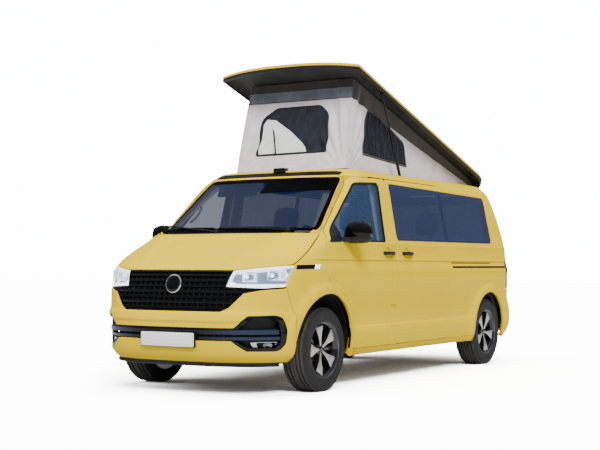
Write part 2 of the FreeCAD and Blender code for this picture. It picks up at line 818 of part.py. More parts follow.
def make_tyre(label, side, axle_y):
    """Tread, shoulders and sidewalls, turned about the axle."""
    body = doc.addObject("PartDesign::Body", "tyre_" + label)
    body.Label = "tyre_" + label
    half = size.tyre_width / 2
    outer = size.wheel_radius
    side_points = [
        (size.rim_radius, half - 13), (size.rim_radius + 40, half - 1), (outer - 62, half),
        (outer - 24, half - 8), (outer - 7, half - 20), (outer, half - 36),
    ]
    points = side_points + [(r, -y) for r, y in reversed(side_points)]
    turned(body, "tread_" + label, new_sketch(body, "section_" + label, "XY_Plane", points))
    body.Placement = wheel_place(side, axle_y)
    pieces.append(body)


# label, side, axle
WHEELS = [
    ("front_left", 1, front_axle),
    ("front_right", -1, front_axle),
    ("rear_left", 1, rear_axle),
    ("rear_right", -1, rear_axle),
]
for label, side, axle_y in WHEELS:
    make_rim(label, side, axle_y)
    make_tyre(label, side, axle_y)

axle_z = size.wheel_radius
hub_face = half_track - 24
upright = block(kingpin - 20, kingpin + 12, front_axle - 40, front_axle + 40, ball_top + fit,
                axle_z + 110)
boss = rod(50, (kingpin - 10, front_axle, axle_z), (hub_face - 5, front_axle, axle_z))
front_stub = rod(size.stub_radius, (kingpin, front_axle, axle_z),
                 (half_track + 46, front_axle, axle_z))
caliper_arm = block(kingpin - 15, hub_face - 5, front_axle + 30, front_axle + 130, axle_z - 28,
                    axle_z + 28)
caliper = block(hub_face - 12, half_track + 14, front_axle + 106, front_axle + 188, axle_z - 58,
                axle_z + 58)
disc_space = rod(size.disc_radius + 6, (hub_face - 5, front_axle, axle_z),
                 (half_track + 7, front_axle, axle_z))
knuckle = upright.fuse([boss, caliper_arm, caliper.cut(disc_space), front_stub])
piece("knuckle_left", solids_of(knuckle))
piece("knuckle_right", solids_of(mirrored(knuckle)))

# ---------------------------------------------------------------- cabin
dash_face = flat(
    [
        (front_axle + 24, shelf_z + 30 + fit),
        (firewall_front + 16, shelf_z + 30 + fit),
        (front_axle + 436, 1060),
        (front_axle + 400, 1190),
        (front_axle + 250, 1236),
        (front_axle + 20, 1262),
    ],
    "x",
)
dash = body_solid(size.wall + 8, 880, 1300).common(side_prism(dash_face))
cowl_face = flat(
    [
        (front_axle + 230, 1228),
        (front_axle + 420, 1150),
        (front_axle + 430, 1216),
        (front_axle + 300, 1262),
    ],
    "x",
)
dash = dash.fuse(push(cowl_face, "x", -540, -210))
driver_x = -370
wheel_centre = Vector(driver_x, front_axle + 644, 1080)
rake = math.radians(size.steering_rake)
column_way = Vector(0, math.sin(rake), math.cos(rake))
column_top = wheel_centre - column_way * (14 + fit)
column_length = (column_top.y - firewall_back - 30) / math.sin(rake)
column_end = column_top - column_way * column_length
column = rod(26, tuple(column_end), tuple(column_top)).cut(dash)
foot = block(driver_x - 30, driver_x + 30, firewall_back + fit, firewall_back + 60,
             column_end.z - 40, column_end.z + 40)
column = column.fuse(foot)
piece("dashboard", Part.makeCompound([solids_of(dash), solids_of(column)]))

wheel_rim = Part.makeTorus(size.steering_wheel_radius, 15)
wheel_hub = Part.makeCylinder(56, 40, Vector(0, 0, -14))
arms = [
    Part.makeBox(size.steering_wheel_radius - 6, 34, 14, Vector(0, -17, -7)) for _ in range(3)
]
for index, one in enumerate(arms):
    one.rotate(Vector(0, 0, 0), Vector(0, 0, 1), 180 * index - (90 if index == 2 else 0))
steering = wheel_rim.fuse([wheel_hub] + arms)
piece("steering_wheel", solids_of(steering),
      Placement(wheel_centre, Rotation(Vector(1, 0, 0), -size.steering_rake)))


def seat(width, hip_y, floor_z):
    """Pedestal, cushion, back and head restraint from one side outline."""
    outline_points = [
        (-380, 0), (40, 0), (60, 170), (140, 330), (255, 950), (150, 975), (20, 372),
        (-430, 350), (-450, 190), (-390, 170),
    ]
    face = flat([(hip_y + a, floor_z + b) for a, b in outline_points], "x")
    head = flat([(hip_y + a, floor_z + b) for a, b in
                 [(170, 960), (245, 940), (290, 1150), (205, 1165)]], "x")
    return face, head, width


chair, chair_head, chair_width = seat(480, front_axle + 1170, size.floor_top + fit)
chair_shape = push(chair, "x", 370 - chair_width / 2, 370 + chair_width / 2)
chair_shape = chair_shape.fuse(push(chair_head, "x", 250, 490))
piece("front_seats", both(solids_of(chair_shape)))
bench, bench_head, bench_width = seat(1180, rear_axle - 420, size.floor_top + fit)
bench_shape = push(bench, "x", -bench_width / 2, bench_width / 2)
heads = [push(bench_head, "x", x - 120, x + 120) for x in (-390, 0, 390)]
piece("rear_bench", solids_of(bench_shape.fuse(heads)))

# ---------------------------------------------------------------- pop-up roof


def arc(a, b, c):
    return Part.Arc(Vector(*a), Vector(*b), Vector(*c)).toShape()


def line(a, b):
    return Part.LineSegment(Vector(*a), Vector(*b)).toShape()


def lid_outline(z):
    """Bowed front, straight sides and round rear corners."""
    side_front = lid_front + 250
    side_back = lid_back - 260
    back_x = half_lid - 260
    front_x = half_lid - 145
    bow = 75
    corner = (half_lid - 28, lid_front + 128, z)
    back_corner = (half_lid - 76, lid_back - 76, z)
    edges = [
        arc((-front_x, lid_front + bow, z), (0, lid_front, z), (front_x, lid_front + bow, z)),
        arc((front_x, lid_front + bow, z), corner, (half_lid, side_front, z)),
        line((half_lid, side_front, z), (half_lid, side_back, z)),
        arc((half_lid, side_back, z), back_corner, (back_x, lid_back, z)),
        line((back_x, lid_back, z), (-back_x, lid_back, z)),
        arc((-back_x, lid_back, z), (-back_corner[0], back_corner[1], z), (-half_lid, side_back, z)),
        line((-half_lid, side_back, z), (-half_lid, side_front, z)),
        arc((-half_lid, side_front, z), (-corner[0], corner[1], z), (-front_x, lid_front + bow, z)),
    ]
    return Part.Face(Part.Wire(edges))


lid_ceiling = rim_z + size.lid_pocket
crown = Part.makeCylinder(
    size.lid_crown,
    size.lid_length + 200,
    Vector(0, lid_front - 100, rim_z + size.lid_depth - size.lid_crown),
    Vector(0, 1, 0),
)
lid = lid_outline(rim_z).extrude(Vector(0, 0, size.lid_depth)).common(crown)
lid_hollow = lid_outline(rim_z - 1).makeOffset2D(-size.lid_wall)
lid = lid.cut(lid_hollow.extrude(Vector(0, 0, size.lid_pocket + 1)))
for side in (-1, 1):
    outer = side * hinge_x
    near = min(outer, outer - side * 34)
    slot = block(near - 6, near + 40, hinge_y - 40, hinge_y + 40, rim_z - 1, hinge_z + 22)
    lid = lid.cut(slot)
    start = side * (hinge_x + fit)
    end = side * (hinge_x + 40)
    barrel = rod(knuckle_radius, (start, hinge_y, hinge_z), (end, hinge_y, hinge_z))
    low = min(start, end)
    web = block(low, low + 40 - fit, hinge_y - 8, hinge_y + 10, hinge_z, rim_z + 50)
    plate_x = side * (strut_x + size.strut_radius + 0.5)
    plate_low = min(plate_x, plate_x + side * 7)
    plate = block(plate_low, plate_low + 7, pin_y - 18, pin_y + 18, pin_z - 14, lid_ceiling + 5)
    lid = lid.fuse([barrel, web, plate])
piece("roof_lid", solids_of(lid), raise_lid)

# gas struts, from a foot beside the canvas to a pin under the lid
strut_foot = Vector(strut_x, strut_foot_y, strut_foot_z)
open_length = (pin - strut_foot).Length
along = (pin - strut_foot) * (1 / open_length)
barrel_length = closed_length - barrel_short
rod_start = open_length - closed_length + rod_inside


def on_strut(distance):
    return tuple(strut_foot + along * distance)


rod_bore = size.rod_radius + size.bearing_gap
tube = rod(size.strut_radius, on_strut(0), on_strut(barrel_length))
tube = tube.cut(rod(rod_bore, on_strut(30), on_strut(barrel_length + 1)))
eye = rod(10, (strut_x - 11, pin.y, pin.z), (strut_x + 11, pin.y, pin.z))
slim = rod(size.rod_radius, on_strut(rod_start), on_strut(open_length)).fuse(eye)
piece("strut_barrel_left", tube)
piece("strut_barrel_right", mirrored(tube))
piece("strut_rod_left", slim)
piece("strut_rod_right", mirrored(slim))


def wedge(lower, upper):
    """A solid between two four-cornered rings, with flat triangles."""
    faces = []
    for i in range(4):
        a, b = lower[i], lower[(i + 1) % 4]
        c, d = upper[(i + 1) % 4], upper[i]
        for corners in ((a, b, c), (a, c, d)):
            faces.append(Part.Face(Part.makePolygon(list(corners) + [corners[0]])))
    for cap in (lower, upper):
        for corners in ((cap[0], cap[1], cap[2]), (cap[0], cap[2], cap[3])):
            faces.append(Part.Face(Part.makePolygon(list(corners) + [corners[0]])))
    solid = Part.makeSolid(Part.makeShell(faces))
    if solid.Volume < 0:
        solid.reverse()
    return solid


canvas_low = size.roof_top + fit
canvas_front = lid_front + 281
canvas_back = hinge_y - 100


def canvas_wedge(inset, reach):
    """The tent's outer skin (inset 0) or its inside, reaching past both ends."""
    low = canvas_low - reach
    high = lid_ceiling - 0.5 + reach
    half_low = 590 - inset
    half_high = 556 - inset
    top_front = lid_front + 367 + inset
    lower = [
        Vector(-half_low, canvas_front + inset, low), Vector(half_low, canvas_front + inset, low),
        Vector(half_low, canvas_back - inset, low), Vector(-half_low, canvas_back - inset, low),
    ]
    upper = [
        Vector(-half_high, top_front, high), Vector(half_high, top_front, high),
        Vector(half_high, canvas_back - inset, high), Vector(-half_high, canvas_back - inset, high),
    ]
    return wedge(lower, [raise_lid.multVec(p) for p in upper])


canvas = canvas_wedge(0, 0).cut(canvas_wedge(12, 6))
piece("canvas", solids_of(canvas))

# ---------------------------------------------------------------- check and write
doc.recompute()
for item in doc.Objects:
    if "Invalid" in item.State or "Error" in item.State:
        raise ValueError("%s did not compute" % item.Name)
for item in pieces:
    if item.Shape.isNull() or not item.Shape.isValid():
        raise ValueError("%s has no valid shape" % item.Label)

os.makedirs("parts", exist_ok=True)
for item in pieces:
    item.Shape.exportStep("parts/%s.step" % item.Label)
print("wrote %d pieces" % len(pieces))
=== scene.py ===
"""The looks of a camper van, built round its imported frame.

Metres, +Z up. The van faces -Y, its left side is +X and it stands on z = 0.
"""
import bisect
import math

import bmesh
import bpy
from mathutils import Matrix, Vector, noise


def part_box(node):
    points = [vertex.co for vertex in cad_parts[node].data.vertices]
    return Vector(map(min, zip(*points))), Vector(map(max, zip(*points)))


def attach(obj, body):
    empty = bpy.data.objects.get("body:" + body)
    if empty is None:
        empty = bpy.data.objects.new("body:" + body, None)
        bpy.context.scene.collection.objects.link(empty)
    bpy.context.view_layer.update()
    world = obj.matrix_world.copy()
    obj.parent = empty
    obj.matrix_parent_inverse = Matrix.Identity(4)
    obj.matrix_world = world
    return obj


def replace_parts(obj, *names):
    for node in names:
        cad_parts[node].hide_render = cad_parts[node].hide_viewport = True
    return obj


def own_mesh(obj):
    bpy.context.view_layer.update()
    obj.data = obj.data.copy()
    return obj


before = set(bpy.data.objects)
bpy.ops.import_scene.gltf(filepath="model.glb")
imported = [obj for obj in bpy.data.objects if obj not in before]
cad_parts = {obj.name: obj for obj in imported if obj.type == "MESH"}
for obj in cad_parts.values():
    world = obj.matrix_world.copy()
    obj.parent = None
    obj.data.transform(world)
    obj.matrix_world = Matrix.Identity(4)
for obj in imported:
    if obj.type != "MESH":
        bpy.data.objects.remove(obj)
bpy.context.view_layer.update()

MM = 0.001
QUARTER = math.pi / 2
FULL = 2 * math.pi

# ---------------------------------------------------------------- places, from the frame
low_tyre, high_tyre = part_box("tyre_front_left")
FRONT_AXLE = (low_tyre.y + high_tyre.y) / 2
WHEEL_RADIUS = (high_tyre.z - low_tyre.z) / 2
HALF_TRACK = (low_tyre.x + high_tyre.x) / 2
low_tyre, high_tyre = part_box("tyre_rear_left")
REAR_AXLE = (low_tyre.y + high_tyre.y) / 2
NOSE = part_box("front_bumper")[0].y
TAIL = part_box("rear_bumper")[1].y
HALF_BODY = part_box("front_wings")[1].x
ROOF_EDGE = 1.832
ROOF_TOP = 1.885
DOOR_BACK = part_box("front_door_left")[1].y
SLIDE_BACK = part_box("sliding_door")[1].y
SILL_TOP = 0.322
BUMPER_TOP = 0.560
LAMP_BOTTOM = 0.868
BONNET_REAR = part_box("bonnet")[1].y
BONNET_TOP = 1.302
SHOULDER = 1.078
LOWER_CREASE = 0.505
BELT = 1.245
SEAM = 0.0025
FRONT_ARCH_MIDDLE = FRONT_AXLE - 0.008
FRONT_ARCH_BEHIND, FRONT_ARCH_AHEAD, FRONT_ARCH_TOP = 0.400, 0.444, 0.802
REAR_ARCH_RADIUS, REAR_ARCH_TOP = 0.385, 0.759
DOOR_BODIES = ("front_door_left", "front_door_right")

# ---------------------------------------------------------------- materials


def rgb(code):
    """An sRGB hex value as linear colour."""
    parts = [int(code[i:i + 2], 16) / 255 for i in (0, 2, 4)]
    linear = [c / 12.92 if c <= 0.04045 else ((c + 0.055) / 1.055) ** 2.4 for c in parts]
    return tuple(linear) + (1.0,)


def add(tree, kind, settings=None, **links):
    """A node with its settings; links names its sockets and what feeds them."""
    node = tree.nodes.new("ShaderNode" + kind)
    for key, value in (settings or {}).items():
        if key in node.inputs:
            node.inputs[key].default_value = value
        else:
            setattr(node, key, value)
    for key, source in links.items():
        by_number = key[0] == "i" and key[1:].isdigit()
        tree.links.new(source, node.inputs[int(key[1:]) if by_number else key])
    return node


def material(name, colour, rough, **sockets):
    """A surface with its colour and roughness; sockets set others of the shader by name."""
    made = bpy.data.materials.new(name)
    made.use_nodes = True
    tree = made.node_tree
    shader = tree.nodes["Principled BSDF"]
    shader.inputs["Base Color"].default_value = rgb(colour)
    shader.inputs["Roughness"].default_value = rough
    for key, value in sockets.items():
        shader.inputs[key.replace("_", " ")].default_value = value
    made.diffuse_color = rgb(colour)
    return made, tree, shader


def place(tree, scale=(1, 1, 1)):
    """Object coordinates, stretched by scale."""
    coordinates = add(tree, "TexCoord")
    stretch = add(tree, "Mapping", {"Scale": scale}, Vector=coordinates.outputs["Object"])
    return stretch.outputs["Vector"]


def mottle(tree, shader, dark, light, per_metre, socket="Base Color", scale=(1, 1, 1)):
    """Colour, or another socket's number, that wanders between two, in patches per metre."""
    cloud = add(tree, "TexNoise", {"Scale": per_metre, "Detail": 4.0}, Vector=place(tree, scale))
    tones = add(tree, "ValToRGB", Fac=cloud.outputs["Fac"])
    for element, at, value in zip(tones.color_ramp.elements, (0.3, 0.7), (dark, light)):
        element.position = at
        element.color = rgb(value) if isinstance(value, str) else (value,) * 3 + (1,)
    tree.links.new(tones.outputs["Color"], shader.inputs[socket])


def grain(tree, shader, per_metre, height):
    """Bumps of a height in metres, at so many per metre."""
    cloud = add(tree, "TexNoise", {"Scale": per_metre, "Detail": 3.0}, Vector=place(tree))
    bump = add(tree, "Bump", {"Strength": 1.0, "Distance": height}, Height=cloud.outputs["Fac"])
    tree.links.new(bump.outputs["Normal"], shader.inputs["Normal"])


def toned(name, colour, rough, *clouds, grained=None, glow=None, **sockets):
    """A material of wandering tones: clouds are numbers for mottle, grained those for grain."""
    made, tree, shader = material(name, colour, rough, **sockets)
    if glow:
        shader.inputs["Emission Color"].default_value = rgb(glow)
    for cloud in clouds:
        mottle(tree, shader, *cloud)
    if grained:
        grain(tree, shader, *grained)
    return made


def car_paint():
    """Solid yellow enamel: even, softly shining colour under thin lacquer with faint peel."""
    made, tree, shader = material("lacquered_yellow", "E0BE00", 0.45, Coat_Weight=0.18,
                                  Coat_Roughness=0.05, Specular_IOR_Level=0.0)
    mottle(tree, shader, "DDBA00", "E3C100", 1.3)
    peel = add(tree, "TexNoise", {"Scale": 160.0, "Detail": 1.0}, Vector=place(tree))
    bump = add(tree, "Bump", {"Strength": 0.12, "Distance": 0.0004}, Height=peel.outputs["Fac"])
    tree.links.new(bump.outputs["Normal"], shader.inputs["Coat Normal"])
    return made


def slat_painted_sky():
    """Satin dark slats: near black in the middle and blue-grey towards the ends, a painted
    reflection of the sky.
    """
    made, tree, shader = material("satin_slat_painted_sky", "2A3342", 0.3, Metallic=0.35)
    # the blend by distance from the middle is a painted reflection of the sky
    across = add(tree, "SeparateXYZ", i0=place(tree))
    out = add(tree, "Math", {"operation": "ABSOLUTE"}, i0=across.outputs["X"])
    ends = add(tree, "MapRange", {"From Min": 0.30, "From Max": 0.56}, Value=out.outputs["Value"])
    painted_sky_tone = add(tree, "MixRGB", i0=ends.outputs["Result"])
    painted_sky_tone.inputs[1].default_value = rgb("07080A")
    painted_sky_tone.inputs[2].default_value = rgb("232D42")
    tree.links.new(painted_sky_tone.outputs["Color"], shader.inputs["Base Color"])
    return made


def rubber():
    """Tyre rubber: carbon black walls, tread scuffed a dusty brown-grey."""
    made, tree, shader = material("tyre_rubber", "2A2828", 0.75)
    speckle = add(tree, "TexNoise", {"Scale": 22.0, "Detail": 3.0}, Vector=place(tree))
    wall = add(tree, "MixRGB", i0=speckle.outputs["Fac"])
    tread = add(tree, "MixRGB", i0=speckle.outputs["Fac"])
    for node, dark, light in ((wall, "19191A", "272626"), (tread, "403D3C", "565250")):
        node.inputs[1].default_value = rgb(dark)
        node.inputs[2].default_value = rgb(light)
    facing = add(tree, "TexCoord")
    parts = add(tree, "SeparateXYZ", i0=facing.outputs["Normal"])
    outward = add(tree, "Math", {"operation": "ABSOLUTE"}, i0=parts.outputs["X"])
    edge = add(tree, "MapRange", {"From Min": 0.30, "From Max": 0.62},
               Value=outward.outputs["Value"])
    whole = add(tree, "MixRGB", i0=edge.outputs["Result"], i1=tread.outputs["Color"],
                i2=wall.outputs["Color"])
    tree.links.new(whole.outputs["Color"], shader.inputs["Base Color"])
    grain(tree, shader, 700.0, 0.0005)
    return made


def window_film():
    """Clear film over dark mesh: smooth, slack, with long bright ripples."""
    made, tree, shader = material("tent_window_film", "12141E", 0.14, Specular_IOR_Level=0.9)
    mottle(tree, shader, "0C0D14", "1F2330", 5.0, scale=(3, 3, 1))
    ripple = add(tree, "TexNoise", {"Scale": 9.0, "Detail": 2.0},
                 Vector=place(tree, (2.0, 2.0, 0.35)))
    bump = add(tree, "Bump", {"Strength": 0.8, "Distance": 0.03}, Height=ripple.outputs["Fac"])
    tree.links.new(bump.outputs["Normal"], shader.inputs["Normal"])
    return made


def tinted(name, code, alpha, rough=0.03):
    """Tinted glass: colour inside, sky on the face."""
    return toned(name, code, rough, (code, code, 2.0), Alpha=alpha, Specular_IOR_Level=0.4)


def tent_cloth(name, dark, light):
    """Coated cotton weave: threads about 1 mm apart, drawn at 3 mm so that they show."""
    made, tree, shader = material(name, light, 0.85, Sheen_Weight=0.25)
    mottle(tree, shader, dark, light, 7.0)
    warp = add(tree, "TexWave", {"Scale": 105.0, "Distortion": 0.6, "bands_direction": "Z"},
               Vector=place(tree))
    weft = add(tree, "TexWave", {"Scale": 105.0, "Distortion": 0.6, "bands_direction": "DIAGONAL"},
               Vector=place(tree, (1, 1, 0)))
    both = add(tree, "Math", {"operation": "MULTIPLY"}, i0=warp.outputs["Fac"],
               i1=weft.outputs["Fac"])
    bump = add(tree, "Bump", {"Strength": 0.5, "Distance": 0.0006}, Height=both.outputs["Value"])
    tree.links.new(bump.outputs["Normal"], shader.inputs["Normal"])
    return made


def seat_cloth(name, dark, light):
    """Flat woven upholstery: matt and finely flecked, with a nap that lightens at the edges."""
    return toned(name, light, 0.9, (dark, light, 260.0), grained=(520.0, 0.0008),
                 Sheen_Weight=0.4)


def lining(name, dark, light):
    """Foam-backed lining and painted trim inside: matt, with a fine tooth."""
    return toned(name, light, 0.7, (dark, light, 5.0), grained=(300.0, 0.0004))


PAINT = car_paint()
SLAT = slat_painted_sky()
RUBBER = rubber()
TENT_MESH = window_film()
# the same enamel inside the handle cups, darkened as painted shade where less light falls
SHADED_CUP = toned("cup_yellow_painted_shade", "A88A1E", 0.3, ("A2841C", "B09226", 8.0),
            Coat_Weight=0.8, Coat_Roughness=0.05)
# grained polypropylene mouldings: dull black with a fine leather grain
MOULDED = toned("moulded_black", "16171A", 0.55, ("121316", "1B1C20", 9.0),
                grained=(420.0, 0.0004))
# enamelled black plastic: near mirror, with a gloss that varies a little
GLOSS = toned("gloss_black", "040405", 0.12, (0.10, 0.16, 14.0, "Roughness"),
              Specular_IOR_Level=0.35)
# window and door seals: soft black strip
SEAL = toned("seal_rubber", "0B0B0D", 0.6, ("09090B", "121214", 30.0))
# turned wheel face under lacquer: pale metal whose shine breaks up in fine patches
MACHINED = toned("machined_alloy", "C9C2BE", 0.34, ("BDB6B2", "D8D2CE", 20.0),
                 (0.28, 0.42, 90.0, "Roughness"), Metallic=0.75, Coat_Weight=0.4)
# wheel enamel: gloss black
WHEEL_BLACK = toned("black_wheel_enamel", "0A0A0C", 0.16, ("08080A", "111114", 12.0),
                    Coat_Weight=0.8, Coat_Roughness=0.05)
# the rim's rolled edge: dark enamel lit blue-grey as a painted highlight, lighter in random patches
RIM_EDGE_HIGHLIGHT = toned("rim_edge", "3A4152", 0.25, ("20242E", "6C7688", 9.0),
                 Metallic=0.6, Coat_Weight=0.5)
# coated castings and pressings under the body: dull and dusty
CASTING = toned("coated_casting", "2B2B2C", 0.7, ("1D1D1E", "3A3835", 18.0),
                grained=(160.0, 0.0006), Metallic=0.3)
# sealed and painted floor panels: dull yellow-brown overspray on black wax
UNDER = toned("sealed_underside", "3A3526", 0.65, ("1C1B18", "57492A", 2.6),
              grained=(90.0, 0.0008))
# drawn and polished steel: rods and pipes, dulled by heat in patches
PIPE = toned("drawn_steel", "6E6C69", 0.32, ("4B4947", "8B8884", 6.0),
             (0.25, 0.5, 22.0, "Roughness"), Metallic=0.9)
# needled felt of the wheel arch liners: black fibre that swallows light
FELT = toned("liner_felt", "0D0D0E", 0.95, ("080809", "161617", 120.0), grained=(260.0, 0.001))
# lamp reflectors and trim: bright metal
CHROME = toned("bright_chrome", "D9DEE6", 0.12, (0.08, 0.18, 40.0, "Roughness"), Metallic=1.0)
# polycarbonate over the lamps: clear, with a sharp shine
LENS = toned("clear_lens", "DCE6F2", 0.03, ("D2DEEC", "E6EEF6", 12.0),
             Alpha=0.10, Coat_Weight=1.0, Coat_Roughness=0.02)
# diffusing strip and reflectors: near white, with a glow that is painted light on the rims and
# reflectors, which are no lamps
GLOW = toned("pale_reflector_painted_glow", "F2F6FA", 0.25, ("DDE6F0", "FAFCFF", 30.0), glow="EAF2FF",
             Emission_Strength=1.6)
# silvered mirrors of the lamp modules: made to glow bright as a painted reflection of the sky
SILVERED = toned("silvered_module_painted_sky", "E4EAF4", 0.15, ("B9C6DA", "F6FAFF", 26.0), glow="DCE8FA",
                 Metallic=0.7, Emission_Strength=0.95)
# vacuum-coated bowls of the headlamps: satin silver tinted blue-grey, with a faint glow, as a
# painted reflection of the sky
BOWL = toned("lamp_bowl", "5F6D87", 0.25, ("4A5874", "8C9BB6", 14.0), glow="C4D2EA",
             Metallic=0.4, Emission_Strength=0.06)
# ceramic print baked on the edge of the glass: dead flat black
PRINT = toned("black_print", "020203", 0.6, ("020203", "050507", 40.0),
              Specular_IOR_Level=0.05)
# acrylic tail lens: deep red that varies as if ribs lay inside
RED = toned("red_lens", "8C0F12", 0.08, ("6E0A0E", "A51518", 60.0, "Base Color", (1, 1, 4)),
            Coat_Weight=1.0, Coat_Roughness=0.03)
# reflective sheet on aluminium, left blank: pale and even
PLATE = toned("blank_plate", "EDEDEC", 0.35, ("E2E2E1", "F4F4F3", 70.0), Coat_Weight=0.3)
# the windscreen's navy tint is partly a painted reflection of the sky
SCREEN_GLASS = tinted("windscreen_glass_painted_sky", "0A1734", 0.74)
DOOR_GLASS = tinted("door_glass", "33486B", 0.58)
DARK_GLASS = tinted("privacy_glass", "1F2A4A", 0.93)
TENT_CLEAR = tinted("tent_clear_pane", "F4F5F6", 0.80, 0.2)
TENT = tent_cloth("tent_cloth", "CDC5C9", "DFD8DB")
TENT_BAND = tent_cloth("tent_band", "5C6270", "737A88")
# the cloth between the band and the lid, darkened as painted shade under the lid; the seam lines
# share it
TENT_SHADE = tent_cloth("tent_top_cloth_painted_shade", "2F2A29", "3D3634")
TENT_PIPING = tent_cloth("tent_piping", "101116", "1C1D24")
SEAT = seat_cloth("seat_cloth", "16171A", "26282D")
SEAT_SIDE = seat_cloth("seat_side_cloth", "24262B", "383B42")
PALE = lining("pale_lining", "A9AFAD", "C2C9C6")
DARK_LINING = lining("dark_lining", "22252B", "30343C")
LINING = lining("grey_lining", "3A3F4A", "4B515E")

# ---------------------------------------------------------------- the body's surface
# height, tuck, nose_back, corner, fullness, tail_back (millimetres, as in the frame's panels)
LEVELS = [
    (265, 47, 92, 1000, 3.2, 120),
    (330, 17, 37, 1000, 3.2, 60),
    (450, 2, 7, 1000, 3.1, 0),
    (560, 0, 0, 1000, 3.1, 0),
    (700, 0, 30, 1000, 3.2, 62),
    (860, 2, 72, 950, 3.4, 67),
    (985, 4, 127, 850, 3.4, 72),
    (1085, 8, 287, 620, 3.2, 77),
    (1245, 22, 642, 450, 2.7, 90),
    (1320, 37, 782, 480, 2.3, 100),
    (1500, 72, 1082, 350, 2.45, 150),
    (1790, 134, 1487, 240, 2.6, 300),
    (1850, 177, 1567, 240, 2.6, 340),
    (1885, 215, 1620, 240, 2.6, 380),
]
TAIL_CORNER = 0.520
TAIL_FULLNESS = 2.6
SIDE_TAPER = 0.012


def slopes(heights, values):
    """Slopes for a curve through the values that never overshoots."""
    steps = [(b - a) / (t - s) for a, b, s, t in zip(values, values[1:], heights, heights[1:])]
    inner = [0 if a * b <= 0 else 2 * a * b / (a + b) for a, b in zip(steps, steps[1:])]
    return [steps[0]] + inner + [steps[-1]]


HEIGHTS = [row[0] * MM for row in LEVELS]
COLUMNS = [[row[k] * (1 if k == 4 else MM) for row in LEVELS] for k in range(1, 6)]
SLOPES = [slopes(HEIGHTS, column) for column in COLUMNS]


def level(z):
    """tuck, nose_back, corner, fullness and tail_back at any height, as smooth curves."""
    z = min(max(z, HEIGHTS[0]), HEIGHTS[-1])
    i = min(bisect.bisect_right(HEIGHTS, z), len(HEIGHTS) - 1) - 1
    span = HEIGHTS[i + 1] - HEIGHTS[i]
    t = (z - HEIGHTS[i]) / span
    out = []
    for column, slope in zip(COLUMNS, SLOPES):
        a, b, m, n = column[i], column[i + 1], slope[i] * span, slope[i + 1] * span
        out.append((2 * t**3 - 3 * t**2 + 1) * a + (t**3 - 2 * t**2 + t) * m
                   + (3 * t**2 - 2 * t**3) * b + (t**3 - t**2) * n)
    return out


def bell(distance, width):
    """1 at no distance, falling away over a width."""
    return math.exp(-(distance / width) ** 2)


def ramp(value, low, high):
    """0 below low, 1 above high and smooth between."""
    t = min(max((value - low) / (high - low), 0), 1)
    return t * t * (3 - 2 * t)


def arch_distance(y, z):
    """How far a side point lies outside the nearer wheel arch."""
    ahead = y < FRONT_ARCH_MIDDLE
    radius = FRONT_ARCH_AHEAD if ahead else FRONT_ARCH_BEHIND
    front = math.hypot(y - FRONT_ARCH_MIDDLE, max(z - FRONT_ARCH_TOP + radius, 0)) - radius
    rear = math.hypot(y - REAR_AXLE, max(z - REAR_ARCH_TOP + REAR_ARCH_RADIUS, 0))
    return min(front, rear - REAR_ARCH_RADIUS)


def relief(x, y, z):
    """How far the panels stand out from the plain shape: creases, ledges and arch lips."""
    out = 0.0
    side = ramp(abs(x), 0.80, 0.90)
    along = ramp(y, -2.05, -1.85) * (1 - 0.6 * ramp(y, 2.15, 2.4))
    # the side swells under the shoulder crease, and a thin edge stands out above it
    below = SHOULDER - z
    if below > 1e-4:
        out += 0.0160 * ramp(below, 0, 0.095) * (1 - ramp(below, 0.11, 0.42)) * along * side
    else:
        out += 0.0065 * (1 - ramp(-below, 0, 0.030)) * along * side
    # the doors are drawn in above the lower crease
    step = (0.3 * ramp(z, LOWER_CREASE - 0.040, LOWER_CREASE)
            + 0.7 * ramp(z, LOWER_CREASE, LOWER_CREASE + 0.014))
    ledge = step * (1 - ramp(z, LOWER_CREASE + 0.03, 0.82))
    doors = ramp(y, -1.42, -1.22) * (1 - ramp(y, 1.12, 1.26))
    out -= 0.026 * ledge * side * doors
    out -= 0.0035 * bell(below - 0.002, 0.0050) * along * side
    # the lips round the wheel arches
    lip = arch_distance(y, z)
    if side > 0 and z < 1.0:
        out += (0.024 * (1 - ramp(lip, 0.050, 0.105)) + 0.003 * bell(lip - 0.02, 0.015)) * side
    # a soft line under the windows
    if z > 1.20:
        out += 0.0035 * bell(z - (BELT - 0.02), 0.012) * side * ramp(y, -1.6, -1.4)
    # the shelf across the front bumper, and the upper part of the rear one
    front = 1 - ramp(y, -2.35, -2.05)
    if z < 0.72:
        ledge = ramp(z, 0.575, 0.60) * (1 - ramp(z, 0.655, 0.675))
        out += 0.012 * ledge * front * (1 - 0.7 * ramp(abs(x), 0.70, 0.90))
    tail = ramp(y, 2.35, 2.5)
    if z < 0.62:
        out += 0.008 * ramp(z, 0.50, 0.515) * tail
    return out


def bonnet_rise(x, y, z):
    """The bonnet's two long creases: the middle lies a little lower than the sides."""
    if y > BONNET_REAR + 0.02 or z < 1.0:
        return 0.0
    t = min(max((y + 2.50) / 0.80, 0), 1)
    crease = 0.40 + 0.30 * t - 0.05 * math.sin(math.pi * t)
    fade = ramp(z, 1.0, 1.10)
    beyond = abs(x) - crease
    step = ramp(beyond, -0.045 - 0.04 * t, 0.012) * (1 - ramp(beyond, 0.03, 0.28))
    return 0.030 * step * fade


NOSE_STEPS, SIDE_STEPS, TAIL_STEPS = 64, 120, 34
COLUMN_COUNT = NOSE_STEPS + SIDE_STEPS + TAIL_STEPS


